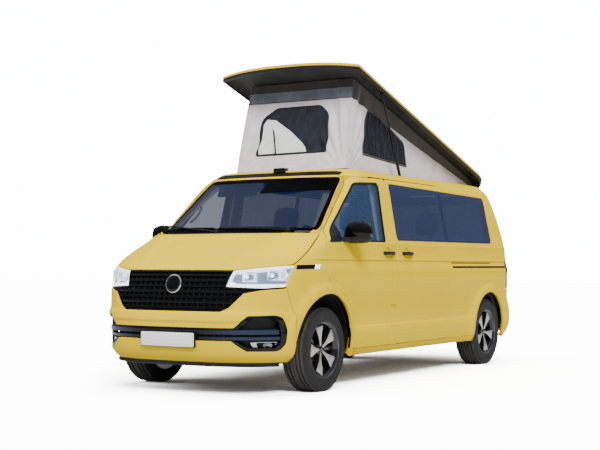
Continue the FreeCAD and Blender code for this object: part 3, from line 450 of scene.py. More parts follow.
def surface(column, z, inset=0.0, plain=False):
    """A point of the body's left half: column 0 is the middle of the nose."""
    tuck, nose_back, corner, fullness, tail_back = level(z)
    half = HALF_BODY - tuck - inset
    front = NOSE + nose_back + inset
    back = TAIL - tail_back - inset
    if column <= NOSE_STEPS:
        turn = QUARTER * column / NOSE_STEPS
        u, v = math.sin(turn), math.cos(turn)
        reach = (u**fullness + v**fullness) ** (-1 / fullness)
        x, y = half * reach * u, front + corner * (1 - reach * v)
        away = Vector((u, -v, 0))
    elif column <= NOSE_STEPS + SIDE_STEPS:
        share = (column - NOSE_STEPS) / SIDE_STEPS
        start = front + corner
        x, y = half - SIDE_TAPER * share, start + share * (back - TAIL_CORNER - start)
        away = Vector((1, 0, 0))
    else:
        turn = QUARTER * (column - NOSE_STEPS - SIDE_STEPS) / TAIL_STEPS
        u, v = math.sin(turn), math.cos(turn)
        reach = (u**TAIL_FULLNESS + v**TAIL_FULLNESS) ** (-1 / TAIL_FULLNESS)
        x, y = (half - SIDE_TAPER) * reach * v, back - TAIL_CORNER * (1 - reach * u)
        away = Vector((v, u, 0))
    point = Vector((x, y, z))
    if plain:
        return point
    point += away * relief(x, y, z)
    point.z += bonnet_rise(x, y, z)
    return point


def row_heights():
    """Rows about 17 mm apart, closer where a crease runs."""
    rows = [0.265 + 0.017 * i for i in range(96)]
    for line, steps in ((SHOULDER, (-0.018, -0.009, -0.004, 0, 0.004, 0.008, 0.014)),
                        (LOWER_CREASE, (-0.004, 0, 0.004, 0.008, 0.012, 0.018)),
                        (0.575, (0, 0.006, 0.012, 0.018, 0.025)),
                        (0.655, (0, 0.006, 0.012, 0.02)),
                        (BELT - 0.02, (-0.012, -0.006, 0, 0.006, 0.012))):
        spread = [line + step for step in steps]
        rows = [z for z in rows if not spread[0] - 0.004 < z < spread[-1] + 0.004] + spread
    return sorted(z for z in rows if z < ROOF_TOP - 0.004) + [ROOF_TOP]


ROWS = row_heights()

# ---------------------------------------------------------------- mesh helpers


def new_piece(name, bm, finish, body, smooth=40, flip_check=False):
    """An object from a bmesh, smooth but for edges sharper than an angle."""
    if flip_check:
        bmesh.ops.remove_doubles(bm, verts=bm.verts, dist=1e-5)
        bmesh.ops.recalc_face_normals(bm, faces=bm.faces)
    bm.normal_update()
    limit = math.radians(smooth)
    for edge in bm.edges:
        edge.smooth = not (len(edge.link_faces) == 2 and edge.calc_face_angle(0) > limit)
    for face in bm.faces:
        face.smooth = True
    mesh = bpy.data.meshes.new(name)
    bm.to_mesh(mesh)
    bm.free()
    for one in finish if isinstance(finish, (list, tuple)) else [finish]:
        mesh.materials.append(one)
    made = bpy.data.objects.new(name, mesh)
    bpy.context.scene.collection.objects.link(made)
    if body:
        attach(made, body)
    return made


def swap_sides(mesh):
    """Turns a mesh into its mirror image across the van."""
    mesh.transform(Matrix.Scale(-1, 4, Vector((1, 0, 0))))
    mesh.flip_normals()


def mirror_piece(source, body="body"):
    """The piece of the right side that matches one of the left."""
    mesh = source.data.copy()
    swap_sides(mesh)
    made = bpy.data.objects.new(source.name.replace("_left", "_right"), mesh)
    bpy.context.scene.collection.objects.link(made)
    for old in source.modifiers:
        made.modifiers.new(old.name, old.type).thickness = old.thickness
    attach(made, body)
    return made


def rounded(points, radius):
    """The outline with its corners turned to arcs; radius is one number or one a corner."""
    out = []
    count = len(points)
    radii = radius if isinstance(radius, (list, tuple)) else [radius] * count
    for i, r in enumerate(radii):
        corner = Vector(points[i])
        before, after = Vector(points[i - 1]) - corner, Vector(points[(i + 1) % count]) - corner
        angle = before.angle(after)
        if r <= 0 or angle > math.radians(174):
            out.append(corner)
            continue
        cut = min(r / math.tan(angle / 2), 0.48 * before.length, 0.48 * after.length)
        first, last = corner + before.normalized() * cut, corner + after.normalized() * cut
        steps = max(2, int((math.pi - angle) / math.radians(13)))
        for k in range(steps + 1):
            t = k / steps
            out.append(first * (1 - t) ** 2 + corner * 2 * t * (1 - t) + last * t**2)
    return out


def inside(outline, a, b):
    """Whether (a, b) lies within the closed outline."""
    hit = False
    last = outline[-1]
    for point in outline:
        if (point[1] > b) != (last[1] > b):
            if a < last[0] + (b - last[1]) * (point[0] - last[0]) / (point[1] - last[1]):
                hit = not hit
        last = point
    return hit


SIDE_VIEW, END_VIEW, PLAN_VIEW = (1, 2), (0, 2), (0, 1)


def strip(low, high, first=-0.1, last=1.1):
    """A rectangle between two heights and two places along a view."""
    return [(first, low), (last, low), (last, high), (first, high)]


def score(bm, outline, view):
    """Cuts the faces along the outline, straight through in the direction of the view."""
    a, b = view
    through = Vector((1, 1, 1))
    through[a] = through[b] = 0
    last = outline[-1]
    for point in outline:
        run = Vector((point[0] - last[0], point[1] - last[1]))
        if run.length < 1e-6:
            continue
        along = Vector((0, 0, 0))
        along[a], along[b] = run
        across = along.cross(through).normalized()
        base = Vector((0, 0, 0))
        base[a], base[b] = last
        low = (min(point[0], last[0]) - 1e-5, min(point[1], last[1]) - 1e-5)
        high = (max(point[0], last[0]) + 1e-5, max(point[1], last[1]) + 1e-5)
        near = []
        for face in bm.faces:
            us = [v.co[a] for v in face.verts]
            if max(us) < low[0] or min(us) > high[0]:
                continue
            ws = [v.co[b] for v in face.verts]
            if max(ws) < low[1] or min(ws) > high[1]:
                continue
            sides = [(v.co - base).dot(across) for v in face.verts]
            if min(sides) < -1e-6 and max(sides) > 1e-6:
                near.append(face)
        if near:
            edges = {e for f in near for e in f.edges}
            verts = {v for f in near for v in f.verts}
            bmesh.ops.bisect_plane(bm, geom=list(verts) + list(edges) + near, dist=1e-5,
                                   plane_co=base, plane_no=across)
        last = point


def trim(bm, outline, view, keep_inside=True):
    """Scores the outline and deletes what lies on its other side."""
    score(bm, outline, view)
    a, b = view
    gone = []
    for face in bm.faces:
        centre = face.calc_center_median()
        if inside(outline, centre[a], centre[b]) != keep_inside:
            gone.append(face)
    bmesh.ops.delete(bm, geom=gone, context="FACES")


def hem(bm, depth, roll):
    """Rolls the open edges over and turns them in by depth, as a pressed panel's edge is."""
    bmesh.ops.remove_doubles(bm, verts=bm.verts, dist=4e-4)
    bm.normal_update()
    rim = [e for e in bm.edges if e.is_boundary]
    inward = {}
    for edge in rim:
        face = edge.link_faces[0]
        start, end = edge.verts
        way = face.normal.cross(end.co - start.co).normalized()
        if way.dot(face.calc_center_median() - start.co) < 0:
            way.negate()
        for vert in edge.verts:
            inward[vert] = inward.get(vert, Vector()) + way
    spots = {v: (v.co.copy(), v.normal.copy(), w.normalized() if w.length > 1e-6 else w)
             for v, w in inward.items()}
    for vert, (co, normal, way) in spots.items():
        vert.co = co + way * roll
    current = {vert: vert for vert in spots}
    for pull, drop in ((0.3, 0.3), (0.0, 1.0), (0.0, depth / roll)):
        result = bmesh.ops.extrude_edge_only(bm, edges=rim)["geom"]
        fresh = [g for g in result if isinstance(g, bmesh.types.BMVert)]
        rim = [g for g in result if isinstance(g, bmesh.types.BMEdge) and g.is_boundary]
        following = {}
        for vert in fresh:
            for edge in vert.link_edges:
                other = edge.other_vert(vert)
                if other in current and (other.co - vert.co).length < 1e-7:
                    following[vert] = current[other]
        for vert, source in following.items():
            co, normal, way = spots[source]
            vert.co = co + way * roll * pull - normal * roll * drop
        current = following
    bm.normal_update()


def skin(y_range, z_range, inset=0.0, x_least=-1.0, columns=None):
    """A grid of the body's left half between two places along it and two heights."""
    low_row = max(bisect.bisect_left(ROWS, z_range[0]) - 1, 0)
    high_row = min(bisect.bisect_right(ROWS, z_range[1]), len(ROWS) - 1)
    rows = ROWS[low_row:high_row + 1]
    if columns is None:
        first, last = COLUMN_COUNT, 0
        for column in range(COLUMN_COUNT + 1):
            ys = [surface(column, z, inset, True).y
                  for z in (rows[0], rows[len(rows) // 2], rows[-1])]
            if min(ys) <= y_range[1] and max(ys) >= y_range[0]:
                first, last = min(first, column), max(last, column)
        columns = (max(first - 1, 0), min(last + 1, COLUMN_COUNT))
    first, last = columns
    bm = bmesh.new()
    across, up = last - first, len(rows) - 1
    bmesh.ops.create_grid(bm, x_segments=across, y_segments=up, size=1.0)
    for vert in bm.verts:
        column = first + round((vert.co.x + 1) / 2 * across)
        z = rows[round((vert.co.y + 1) / 2 * up)]
        vert.co = surface(column, z, inset)
    if x_least > -1:
        gone = [f for f in bm.faces if f.calc_center_median().x < x_least]
        bmesh.ops.delete(bm, geom=gone, context="FACES")
    bm.normal_update()
    return bm


def whole_width(bm):
    """Adds the mirrored right half, joined down the middle."""
    twin = bmesh.ops.duplicate(bm, geom=list(bm.verts) + list(bm.edges) + list(bm.faces))["geom"]
    verts = [g for g in twin if isinstance(g, bmesh.types.BMVert)]
    faces = [g for g in twin if isinstance(g, bmesh.types.BMFace)]
    bmesh.ops.scale(bm, vec=(-1, 1, 1), verts=verts)
    bmesh.ops.reverse_faces(bm, faces=faces)
    bmesh.ops.remove_doubles(bm, verts=[v for v in bm.verts if abs(v.co.x) < 1e-5], dist=1e-4)
    bm.normal_update()


def span(outline, k):
    """The least and the most of one coordinate of the outline."""
    values = [p[k] for p in outline]
    return min(values), max(values)


COLUMNS_AT = {"front": (0, NOSE_STEPS + 12),
              "rear": (COLUMN_COUNT - TAIL_STEPS - 16, COLUMN_COUNT)}


def off(*outlines, view=SIDE_VIEW):
    """Cuts that take away what lies within the outlines."""
    return [(outline, view, False) for outline in outlines]


def panel_mesh(outline, depth=0.022, inset=0.0, both=False, x_least=0.05, where="side", cuts=(),
               holes=(), roll=0.0022):
    """A pressed panel cut from the body's surface along an outline, with its holes.

    where is the view that the outline is drawn in; cuts are more outlines, each with its own
    view and whether the inside is kept."""
    view = SIDE_VIEW if where == "side" else END_VIEW
    if where == "side":
        bm = skin(span(outline, 0), span(outline, 1), inset, -1.0 if both else x_least)
    else:
        bm = skin(None, span(outline, 1), inset, -1.0, COLUMNS_AT[where])
    trim(bm, outline, view)
    for cut_outline, cut_view, keep in [*cuts, *off(*holes, view=view)]:
        trim(bm, cut_outline, cut_view, keep)
    if both:
        whole_width(bm)
    if depth:
        hem(bm, depth, roll)
    return bm


def panel(name, outline, finish, body="body", slot="dark_trim", **more):
    """One panel as a piece."""
    return new_piece(name, panel_mesh(outline, **more), finish, body)


def pair(name, outline, finish, body="body", slot="dark_trim", **more):
    """A left panel and its mirror on the right. body is one name, or one for each side."""
    bodies = (body, body) if isinstance(body, str) else body
    left = panel(name + "_left", outline, finish, bodies[0], slot, **more)
    return left, mirror_piece(left, bodies[1])


def grow(outline, by):
    """The outline pushed out by a distance; negative draws it in."""
    turn = sum(a[0] * b[1] - b[0] * a[1] for a, b in zip(outline, outline[1:] + outline[:1]))
    sign = 1 if turn > 0 else -1
    out = []
    count = len(outline)
    for i in range(count):
        here = Vector(outline[i][:2])
        before = (here - Vector(outline[i - 1][:2])).normalized()
        after = (Vector(outline[(i + 1) % count][:2]) - here).normalized()
        normal = Vector((before.y + after.y, -before.x - after.x)) * sign
        scale = by / max(normal.length_squared / 2, 0.15)
        out.append(here + normal * scale)
    return out


# ---------------------------------------------------------------- outlines of the panels
F, R = FRONT_AXLE, REAR_AXLE


def arch(centre, radius, front_radius, top, bottom=0.15):
    """A wheel arch in side view, from its rear foot over to its front foot."""
    points = [(centre + radius, bottom)]
    for k in range(13):
        turn = QUARTER * k / 12
        points.append((centre + radius * math.cos(turn), top - radius + radius * math.sin(turn)))
    for k in range(1, 13):
        turn = QUARTER * k / 12
        points.append((centre - front_radius * math.sin(turn),
                       top - front_radius + front_radius * math.cos(turn)))
    return points + [(centre - front_radius, bottom)]


FRONT_ARCH = arch(FRONT_ARCH_MIDDLE, FRONT_ARCH_BEHIND, FRONT_ARCH_AHEAD, FRONT_ARCH_TOP)
REAR_ARCH = arch(R, REAR_ARCH_RADIUS, REAR_ARCH_RADIUS, REAR_ARCH_TOP)
NOTCH = DOOR_BACK - 0.134
DOOR_RADII = [0.03, 0.10, 0.16, 0.2, 0.05, 0.16, 0.05, 0.05, 0.03, 0.04, 0.03, 0.02]
DOOR = [
    (F + 0.418, SILL_TOP), (F + 0.418, 0.520), (F + 0.310, 0.740), (F + 0.060, 0.880),
    (F - 0.008, 0.930), (F - 0.008, 1.208), (F + 0.670, 1.788), (F + 0.724, 1.812),
    (DOOR_BACK, ROOF_EDGE - 0.006), (DOOR_BACK, 0.676), (NOTCH, 0.676), (NOTCH, SILL_TOP),
]
DOOR_CUT = rounded(grow(DOOR, SEAM), DOOR_RADII)
DOOR_EDGE = rounded(grow(DOOR, -SEAM), DOOR_RADII)
SLIDE = strip(SILL_TOP, ROOF_EDGE - 0.006, DOOR_BACK + 0.006, SLIDE_BACK)
SLIDE_EDGE = rounded(grow(SLIDE, -SEAM), 0.03)
DOOR_WINDOW = [
    (F + 0.060, 1.232), (F + 0.684, 1.762), (F + 1.128, 1.783), (F + 1.086, 1.240),
]
DOOR_HOLE = rounded(DOOR_WINDOW, [0.03, 0.11, 0.05, 0.03])
SLIDE_WINDOW = [
    (DOOR_BACK + 0.034, BELT + 0.015), (SLIDE_BACK - 0.014, BELT + 0.019),
    (SLIDE_BACK - 0.018, 1.772), (DOOR_BACK + 0.044, 1.786),
]
SLIDE_HOLE = rounded(SLIDE_WINDOW, [0.045, 0.03, 0.03, 0.045])
QUARTER_WINDOW = [
    (SLIDE_BACK + 0.004, BELT + 0.019), (R + 0.170, BELT + 0.024),
    (R + 0.150, 1.756), (SLIDE_BACK, 1.771),
]
QUARTER_HOLE = rounded(QUARTER_WINDOW, [0.03, 0.05, 0.06, 0.03])
FLAP = strip(0.495, 0.655, DOOR_BACK - 0.120, DOOR_BACK - 0.012)
BONNET = [
    (NOSE - 0.060, 0.960), (F - 0.421, 1.044), (BONNET_REAR, BONNET_TOP),
    (NOSE - 0.060, BONNET_TOP),
]
LAMP_SIDE = [
    (NOSE - 0.060, LAMP_BOTTOM), (F - 0.520, LAMP_BOTTOM), (F - 0.416, 1.050),
    (NOSE - 0.060, 1.050),
]
BUMPER = [
    (NOSE - 0.060, 0.260), (F - 0.446, 0.260), (F - 0.446, 0.640), (F - 0.520, LAMP_BOTTOM),
    (NOSE - 0.060, LAMP_BOTTOM),
]
SCREEN = [(-0.789, 1.323), (0.789, 1.323), (0.683, 1.803), (-0.683, 1.803)]
# what the tailgate and its gap take from the left half, seen from the end
GATE_CORNER = off([(-0.1, 0.566), (0.7945, 0.566), (0.7945, 1.100), (0.7545, 1.260),
                   (0.6425, ROOF_EDGE - 0.0035), (-0.1, ROOF_EDGE - 0.0035)], view=END_VIEW)


# ---------------------------------------------------------------- the shell


def side_panels():
    """Wings, doors, quarter panels and sills, with their linings."""
    screen_edge = off(grow(SCREEN, 0.030), view=END_VIEW)
    doors = pair("front_door_skin", DOOR_EDGE, PAINT, DOOR_BODIES, "paint", holes=[DOOR_HOLE],
                 x_least=0.65, cuts=screen_edge)
    pair("door_lining", DOOR_EDGE, LINING, DOOR_BODIES, holes=[grow(DOOR_HOLE, 0.01)],
         inset=0.055, depth=0, x_least=0.60, cuts=screen_edge)
    sliding = panel("sliding_door_skin", SLIDE_EDGE, PAINT, "body", "paint", holes=[SLIDE_HOLE])
    panel("sliding_door_lining", SLIDE_EDGE, LINING, holes=[grow(SLIDE_HOLE, 0.01)], inset=0.055,
          depth=0)
    quarter = [
        (SLIDE_BACK + 0.004, SILL_TOP), (R - 0.385, SILL_TOP), (R - 0.385, 0.30),
        (R + 0.404, 0.30), (R + 0.404, BUMPER_TOP + 0.002), (TAIL + 0.05, BUMPER_TOP + 0.002),
        (TAIL + 0.05, ROOF_EDGE), (SLIDE_BACK + 0.004, ROOF_EDGE),
    ]
    side_cuts = off(REAR_ARCH) + GATE_CORNER + off(strip(0.788, 1.087, R + 0.4745, TAIL + 0.1))
    quarter_left = panel("quarter_left", quarter, PAINT, "body", "paint", holes=[QUARTER_HOLE],
                         cuts=side_cuts, x_least=0.3)
    # the right side has no sliding door, so that its panel runs on to the front door
    whole_side = ([(DOOR_BACK + 0.0035, SILL_TOP)] + quarter[1:-1]
                  + [(DOOR_BACK + 0.0035, ROOF_EDGE)])
    right = panel("quarter_right", whole_side, PAINT, "body", "paint",
                  holes=[SLIDE_HOLE, QUARTER_HOLE], cuts=side_cuts, x_least=0.3)
    swap_sides(right.data)
    wing = [
        (NOSE - 0.05, 0.30), (F + 0.408, 0.268), (F + 0.408, 1.3155), (NOSE - 0.05, 1.3155),
    ]
    wing_cuts = off(DOOR_CUT, FRONT_ARCH, grow(BONNET, 0.004), grow(BUMPER, 0.002),
                    grow(LAMP_SIDE, 0.002))
    wing_cuts += off(strip(BONNET_TOP - 0.02, 1.33, 0.0, 0.786), view=END_VIEW)
    wings = pair("wing", wing, PAINT, "body", "paint", cuts=wing_cuts, x_least=0.45)
    post = strip(SILL_TOP, 0.6725, NOTCH + 0.0035, DOOR_BACK + 0.003)
    panel("door_post_left", post, PAINT, "body", "paint",
          holes=[rounded(grow(FLAP, SEAM), 0.012)])
    swap_sides(panel("door_post_right", post, PAINT, "body", "paint").data)
    flap = panel("fuel_flap_skin", rounded(FLAP, 0.012), PAINT, "fuel_flap", "paint", depth=0.012)
    for piece, node in ((doors[0], "front_door_left"), (doors[1], "front_door_right"),
                        (sliding, "sliding_door"), (quarter_left, "body_side_left"),
                        (right, "body_side_right"), (wings[0], "front_wings"),
                        (flap, "fuel_flap")):
        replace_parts(piece, node)
    pair("sill", strip(0.266, SILL_TOP - 0.003, F + 0.408, R - 0.388), PAINT, "body", "paint",
         x_least=0.6, depth=0.05)
    pair("sill_inner", strip(0.290, 0.420, F + 0.420, R - 0.400), PAINT, "body", "paint",
         x_least=0.6, inset=0.064, depth=0)


side_panels()


def pour(bm, source):
    """Adds another mesh to this one, and frees it."""
    passing = bpy.data.meshes.new("passing")
    source.to_mesh(passing)
    source.free()
    bm.from_mesh(passing)
    bpy.data.meshes.remove(passing)


def gather(name, bms, finish, body="body", smooth=40):
    """One piece out of several meshes."""
    whole = bmesh.new()
    for bm in bms:
        pour(whole, bm)
    return new_piece(name, whole, finish, body, smooth)


def rings(bm, loops):
    """Closed rings of points, each joined to the next; gives back the edges of each."""
    edges = []
    for points in loops:
        verts = [bm.verts.new(point) for point in points]
        edges.append([bm.edges.new(ends) for ends in zip(verts, verts[1:] + verts[:1])])
    for low, high in zip(edges, edges[1:]):
        bmesh.ops.bridge_loops(bm, edges=low + high)
    return edges


def side_point(y, z, inset=0.0):
    """The point of the left side at a length and a height."""
    low, high = 0, COLUMN_COUNT
    while high - low > 1:
        middle = (low + high) // 2
        if surface(middle, z, inset, True).y < y:
            low = middle
        else:
            high = middle
    a, b = surface(low, z, inset), surface(high, z, inset)
    t = (y - a.y) / (b.y - a.y) if abs(b.y - a.y) > 1e-6 else 0
    return a.lerp(b, min(max(t, 0), 1))


def end_point(x, z, inset=0.0, rear=False):
    """The point of the nose (or the tail) at a distance from the middle and a height."""
    order = range(COLUMN_COUNT, NOSE_STEPS, -1) if rear else range(COLUMN_COUNT)
    last = None
    for column in order:
        here = surface(column, z, inset)
        if here.x >= abs(x):
            if last is None:
                return here
            return last.lerp(here, (abs(x) - last.x) / max(here.x - last.x, 1e-6))
        last = here
    return last


def block(bm, low, high, bevel=0.0, segments=2, turn=None, about=None):
    """A box between two corners with its edges eased, turned about a point if asked."""
    before = set(bm.verts)
    made = bmesh.ops.create_cube(bm, size=1.0)["verts"]
    bmesh.ops.scale(bm, vec=Vector(high) - Vector(low), verts=made)
    middle = (Vector(low) + Vector(high)) / 2
    bmesh.ops.translate(bm, vec=middle, verts=made)
    if bevel:
        edges = {e for v in made for e in v.link_edges}
        bmesh.ops.bevel(bm, geom=list(edges), offset=bevel, segments=segments, profile=0.5,
                        affect="EDGES", material=-1)
    made = [v for v in bm.verts if v not in before]
    if turn is not None:
        bmesh.ops.rotate(bm, cent=about or middle, matrix=turn, verts=made)
    return made


def slab(bm, outline, view, low, high, bevel=0.0, segments=2):
    """An outline of a view made solid between two places along the third axis."""
    before = set(bm.verts)
    a, b = view
    c = 3 - a - b
    ring = []
    for point in outline:
        co = Vector((0, 0, 0))
        co[a], co[b], co[c] = point[0], point[1], low
        ring.append(bm.verts.new(co))
    face = bm.faces.new(ring)
    way = Vector((0, 0, 0))
    way[c] = high - low
    top = bmesh.ops.extrude_face_region(bm, geom=[face])["geom"]
    bmesh.ops.translate(bm, vec=way, verts=[g for g in top if isinstance(g, bmesh.types.BMVert)])
    made = [v for v in bm.verts if v not in before]
    faces = list({f for v in made for f in v.link_faces})
    bmesh.ops.recalc_face_normals(bm, faces=faces)
    if bevel:
        edges = [e for e in {e for f in faces for e in f.edges} if e.calc_face_angle(0) > 0.6]
        bmesh.ops.bevel(bm, geom=edges, offset=bevel, segments=segments, profile=0.5,
                        affect="EDGES", material=-1)
        made = [v for v in bm.verts if v not in before]
    return made


def lathe(bm, profile, centre, axis, steps=48):
    """A turned shape; profile is a list of radius and place along the axis."""
    before = set(bm.verts)
    axis, centre = Vector(axis).normalized(), Vector(centre)
    side = axis.orthogonal().normalized()
    chain = [bm.verts.new(centre + side * r + axis * h) for r, h in profile]
    edges = [bm.edges.new(ends) for ends in zip(chain, chain[1:])]
    bmesh.ops.spin(bm, geom=chain + edges, cent=centre, axis=axis, dvec=(0, 0, 0), angle=FULL,
                   steps=steps, use_merge=True)
    made = [v for v in bm.verts if v not in before]
    bmesh.ops.remove_doubles(bm, verts=made, dist=1e-5)
    made = [v for v in bm.verts if v not in before]
    bmesh.ops.recalc_face_normals(bm, faces=list({f for v in made for f in v.link_faces}))
    return made


def bar(bm, points, radius, smooth=True):
    """A round bar along some points."""
    curve = bpy.data.curves.new("bar", "CURVE")
    curve.dimensions = "3D"
    curve.bevel_depth = radius
    curve.bevel_resolution = 3
    curve.use_fill_caps = True
    curve.resolution_u = 6
    line = curve.splines.new("NURBS" if smooth else "POLY")
    line.points.add(len(points) - 1)
    for spot, co in zip(line.points, points):
        spot.co = tuple(co) + (1,)
    if smooth:
        line.order_u = 3
        line.use_endpoint_u = True
    holder = bpy.data.objects.new("bar", curve)
    mesh = bpy.data.meshes.new_from_object(holder)
    bm.from_mesh(mesh)
    bpy.data.objects.remove(holder)
    bpy.data.curves.remove(curve)
    bpy.data.meshes.remove(mesh)


def solid(name, build, finish, body="body", smooth=40, mirror=None):
    """A piece whose mesh build makes; mirror is the body of its twin on the right."""
    bm = bmesh.new()
    build(bm)
    made = new_piece(name, bm, finish, body, smooth, flip_check=True)
    if mirror:
        mirror_piece(made, mirror)
    return made


# ---------------------------------------------------------------- the front
NOSE_RISE = [(-0.1, 0.9925), (0.516, 0.9925), (0.896, 1.0375), (1.1, 1.062)]
LAMP = [
    (0.487, 0.8635), (0.5195, 0.9865), (0.9015, 1.0335), (0.8900, 0.900), (0.866, 0.862),
    (0.751, 0.8515),
]
GRILLE_HALF = [
    (-0.1, 0.671), (0.470, 0.671), (0.531, 0.700), (0.632, 0.812), (0.745, 0.8375),
    (0.868, 0.850), (0.892, 0.900), (0.887, 0.901), (0.864, 0.8600), (0.751, 0.8485),
    (0.4845, 0.8600), (0.5155, 0.9895), (-0.1, 0.9895),
]
RECESS = rounded([
    (-0.1, 0.437), (0.556, 0.437), (0.660, 0.357), (0.838, 0.355), (0.880, 0.420),
    (0.884, 0.510), (0.868, 0.620), (0.838, 0.640), (0.682, 0.636), (0.583, 0.541), (-0.1, 0.541),
], [0, 0.03, 0.02, 0.04, 0.06, 0.1, 0.05, 0.03, 0.03, 0.03, 0])
SURROUND_HOLE = rounded([
    (0.50, 0.444), (0.590, 0.444), (0.676, 0.386), (0.818, 0.384), (0.846, 0.430),
    (0.850, 0.500), (0.842, 0.590), (0.822, 0.608), (0.692, 0.606), (0.612, 0.534), (0.50, 0.534),
], 0.02)


def front_panel(outline, depth, inset, both=True, **more):
    """The mesh of a panel of the nose, drawn in the end view."""
    return panel_mesh(outline, depth, inset, both, where="front", **more)


def past_middle(outline):
    """An outline's left half, carried past the middle so that a hole is open there."""
    return [(p[0] if p[0] > 0 else -0.2, p[1]) for p in outline]


def front_end():
    """Bonnet, grille, bumper and plate."""
    above = [(p[0], p[1] + SEAM) for p in NOSE_RISE] + [(1.1, 1.40), (-0.1, 1.40)]
    bonnet = panel("bonnet_skin", grow(BONNET, -SEAM), PAINT, "bonnet", "paint", both=True,
                   cuts=[(above, END_VIEW, True)], depth=0.028, roll=0.003)
    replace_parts(bonnet, "bonnet")
    above = [(-0.1, 1.03), (0.52, 1.03), (1.1, 1.09), (1.1, 1.4), (-0.1, 1.4)]
    inner = panel("bonnet_liner", grow(BONNET, -0.02), MOULDED, "bonnet", both=True,
                  inset=0.028, depth=0, cuts=[(above, END_VIEW, True)])
    inner.data.flip_normals()

    bumper = panel("bumper_skin", grow(BUMPER, -SEAM / 2), PAINT, "body", "paint", both=True,
                   depth=0.030, roll=0.004,
                   cuts=off(RECESS, grow(GRILLE_HALF, 0.002), grow(LAMP, 0.002),
                            strip(0.858, 1.1, -0.1, 0.49), view=END_VIEW))
    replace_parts(bumper, "front_bumper")
    upper = [(-0.1, 0.640), (0.560, 0.640), (0.760, 0.800), (0.800, 1.000), (-0.1, 1.000)]
    gather("nose_backing", [front_panel(grow(RECESS, 0.012), 0, 0.062),
                            front_panel(upper, 0, 0.075)], MOULDED)
    pair("fog_surround", RECESS, GLOSS, "body", "gloss_black", where="front",
         holes=[SURROUND_HOLE], inset=0.006, depth=0.050, roll=0.006,
         cuts=[(strip(0.30, 0.70, 0.566, 1.1), END_VIEW, True)])

    def air_dam(bm):
        loops = []
        for column in range(NOSE_STEPS + 30):
            section = []
            for z, inset in ((0.272, 0.012), (0.240, 0.002), (0.233, 0.008), (0.236, 0.022),
                             (0.272, 0.034)):
                spot = surface(column, 0.272, inset, True)
                section.append(Vector((spot.x, spot.y, z)))
            if section[0].y > -2.235:
                break
            loops.append(section)
        bmesh.ops.contextual_create(bm, geom=rings(bm, loops)[-1])
        whole_width(bm)

    solid("front_valance", air_dam, MOULDED)
    slats = [front_panel(rounded(strip(low, high, -0.1, last), [0, 0.012, 0.012, 0]), 0.040,
                         deep, roll=0.007)
             for low, high, last, deep in ((0.489, 0.530, 0.842, 0.010),
                                           (0.445, 0.474, 0.846, 0.014))]
    gather("intake_slats", slats, SLAT, "body")
    ribs = [front_panel(strip(0.437, 0.541, x - 0.004, x + 0.004), 0.02, 0.030, roll=0.0015)
            for x in [0.04 + 0.075 * k for k in range(8)]]
    gather("intake_ribs", ribs, MOULDED)

    within = [(GRILLE_HALF, END_VIEW, True)]
    grille = [front_panel(GRILLE_HALF, 0.03, 0.004, roll=0.003,
                          holes=[past_middle(grow(GRILLE_HALF, -0.010))])]
    for k in range(7):
        low = 0.6885 + 0.0425 * k
        grille.append(front_panel(strip(low, low + 0.021), 0.030, 0.008 + 0.002 * (k % 2),
                                  cuts=within, roll=0.005))
    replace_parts(gather("grille_slats", grille, GLOSS, "body"), "grille")
    cells = [front_panel(strip(0.672, 0.985, x - 0.003, x + 0.003), 0.02, 0.020, cuts=within,
                         roll=0.0015)
             for x in [0.028 + 0.056 * k for k in range(12)]]
    gather("grille_cells", cells, MOULDED)

    badge = end_point(0.0, 0.883)
    tilt = (0, -1, 0.18)

    def blank_badge(bm):
        lathe(bm, [(0, 0.010), (0.030, 0.0095), (0.055, 0.007), (0.064, 0.004), (0.066, -0.03)],
              badge, tilt, 56)

    def badge_ring(bm):
        lathe(bm, [(0.065, -0.03), (0.065, 0.0045), (0.067, 0.0085), (0.072, 0.0095),
                   (0.077, 0.006), (0.079, 0.0), (0.079, -0.03)], badge, tilt, 56)

    solid("badge_blank", blank_badge, GLOSS, "body")
    solid("badge_ring", badge_ring, CHROME, "body")

    def plate(bm):
        slab(bm, rounded(strip(0.388, 0.499, -0.260, 0.260), 0.012), END_VIEW, -2.657, -2.6545,
             0.0008)

    def plate_holder(bm):
        slab(bm, rounded(strip(0.3825, 0.5045, -0.2665, 0.2665), 0.014), END_VIEW, -2.6545,
             -2.630, 0.002)

    def inner_wing(bm):
        shape = rounded([(-2.440, 0.420), (-1.420, 0.420), (-1.340, 0.600), (-1.400, 0.960),
                         (-2.020, 0.940), (-2.440, 0.860)], 0.05)
        slab(bm, shape, SIDE_VIEW, 0.496, 0.503, 0.002)

    solid("inner_wing_left", inner_wing, FELT, mirror="body")
    # closes the wing to its liner, so that no daylight shows through the arch
    pair("arch_flange", grow(FRONT_ARCH, 0.030), MOULDED, holes=[grow(FRONT_ARCH, -0.003)],
         inset=0.066, depth=0.004, roll=0.001, cuts=off(DOOR_CUT))
    solid("front_plate", plate, PLATE, "body")
    solid("front_plate_holder", plate_holder, MOULDED)


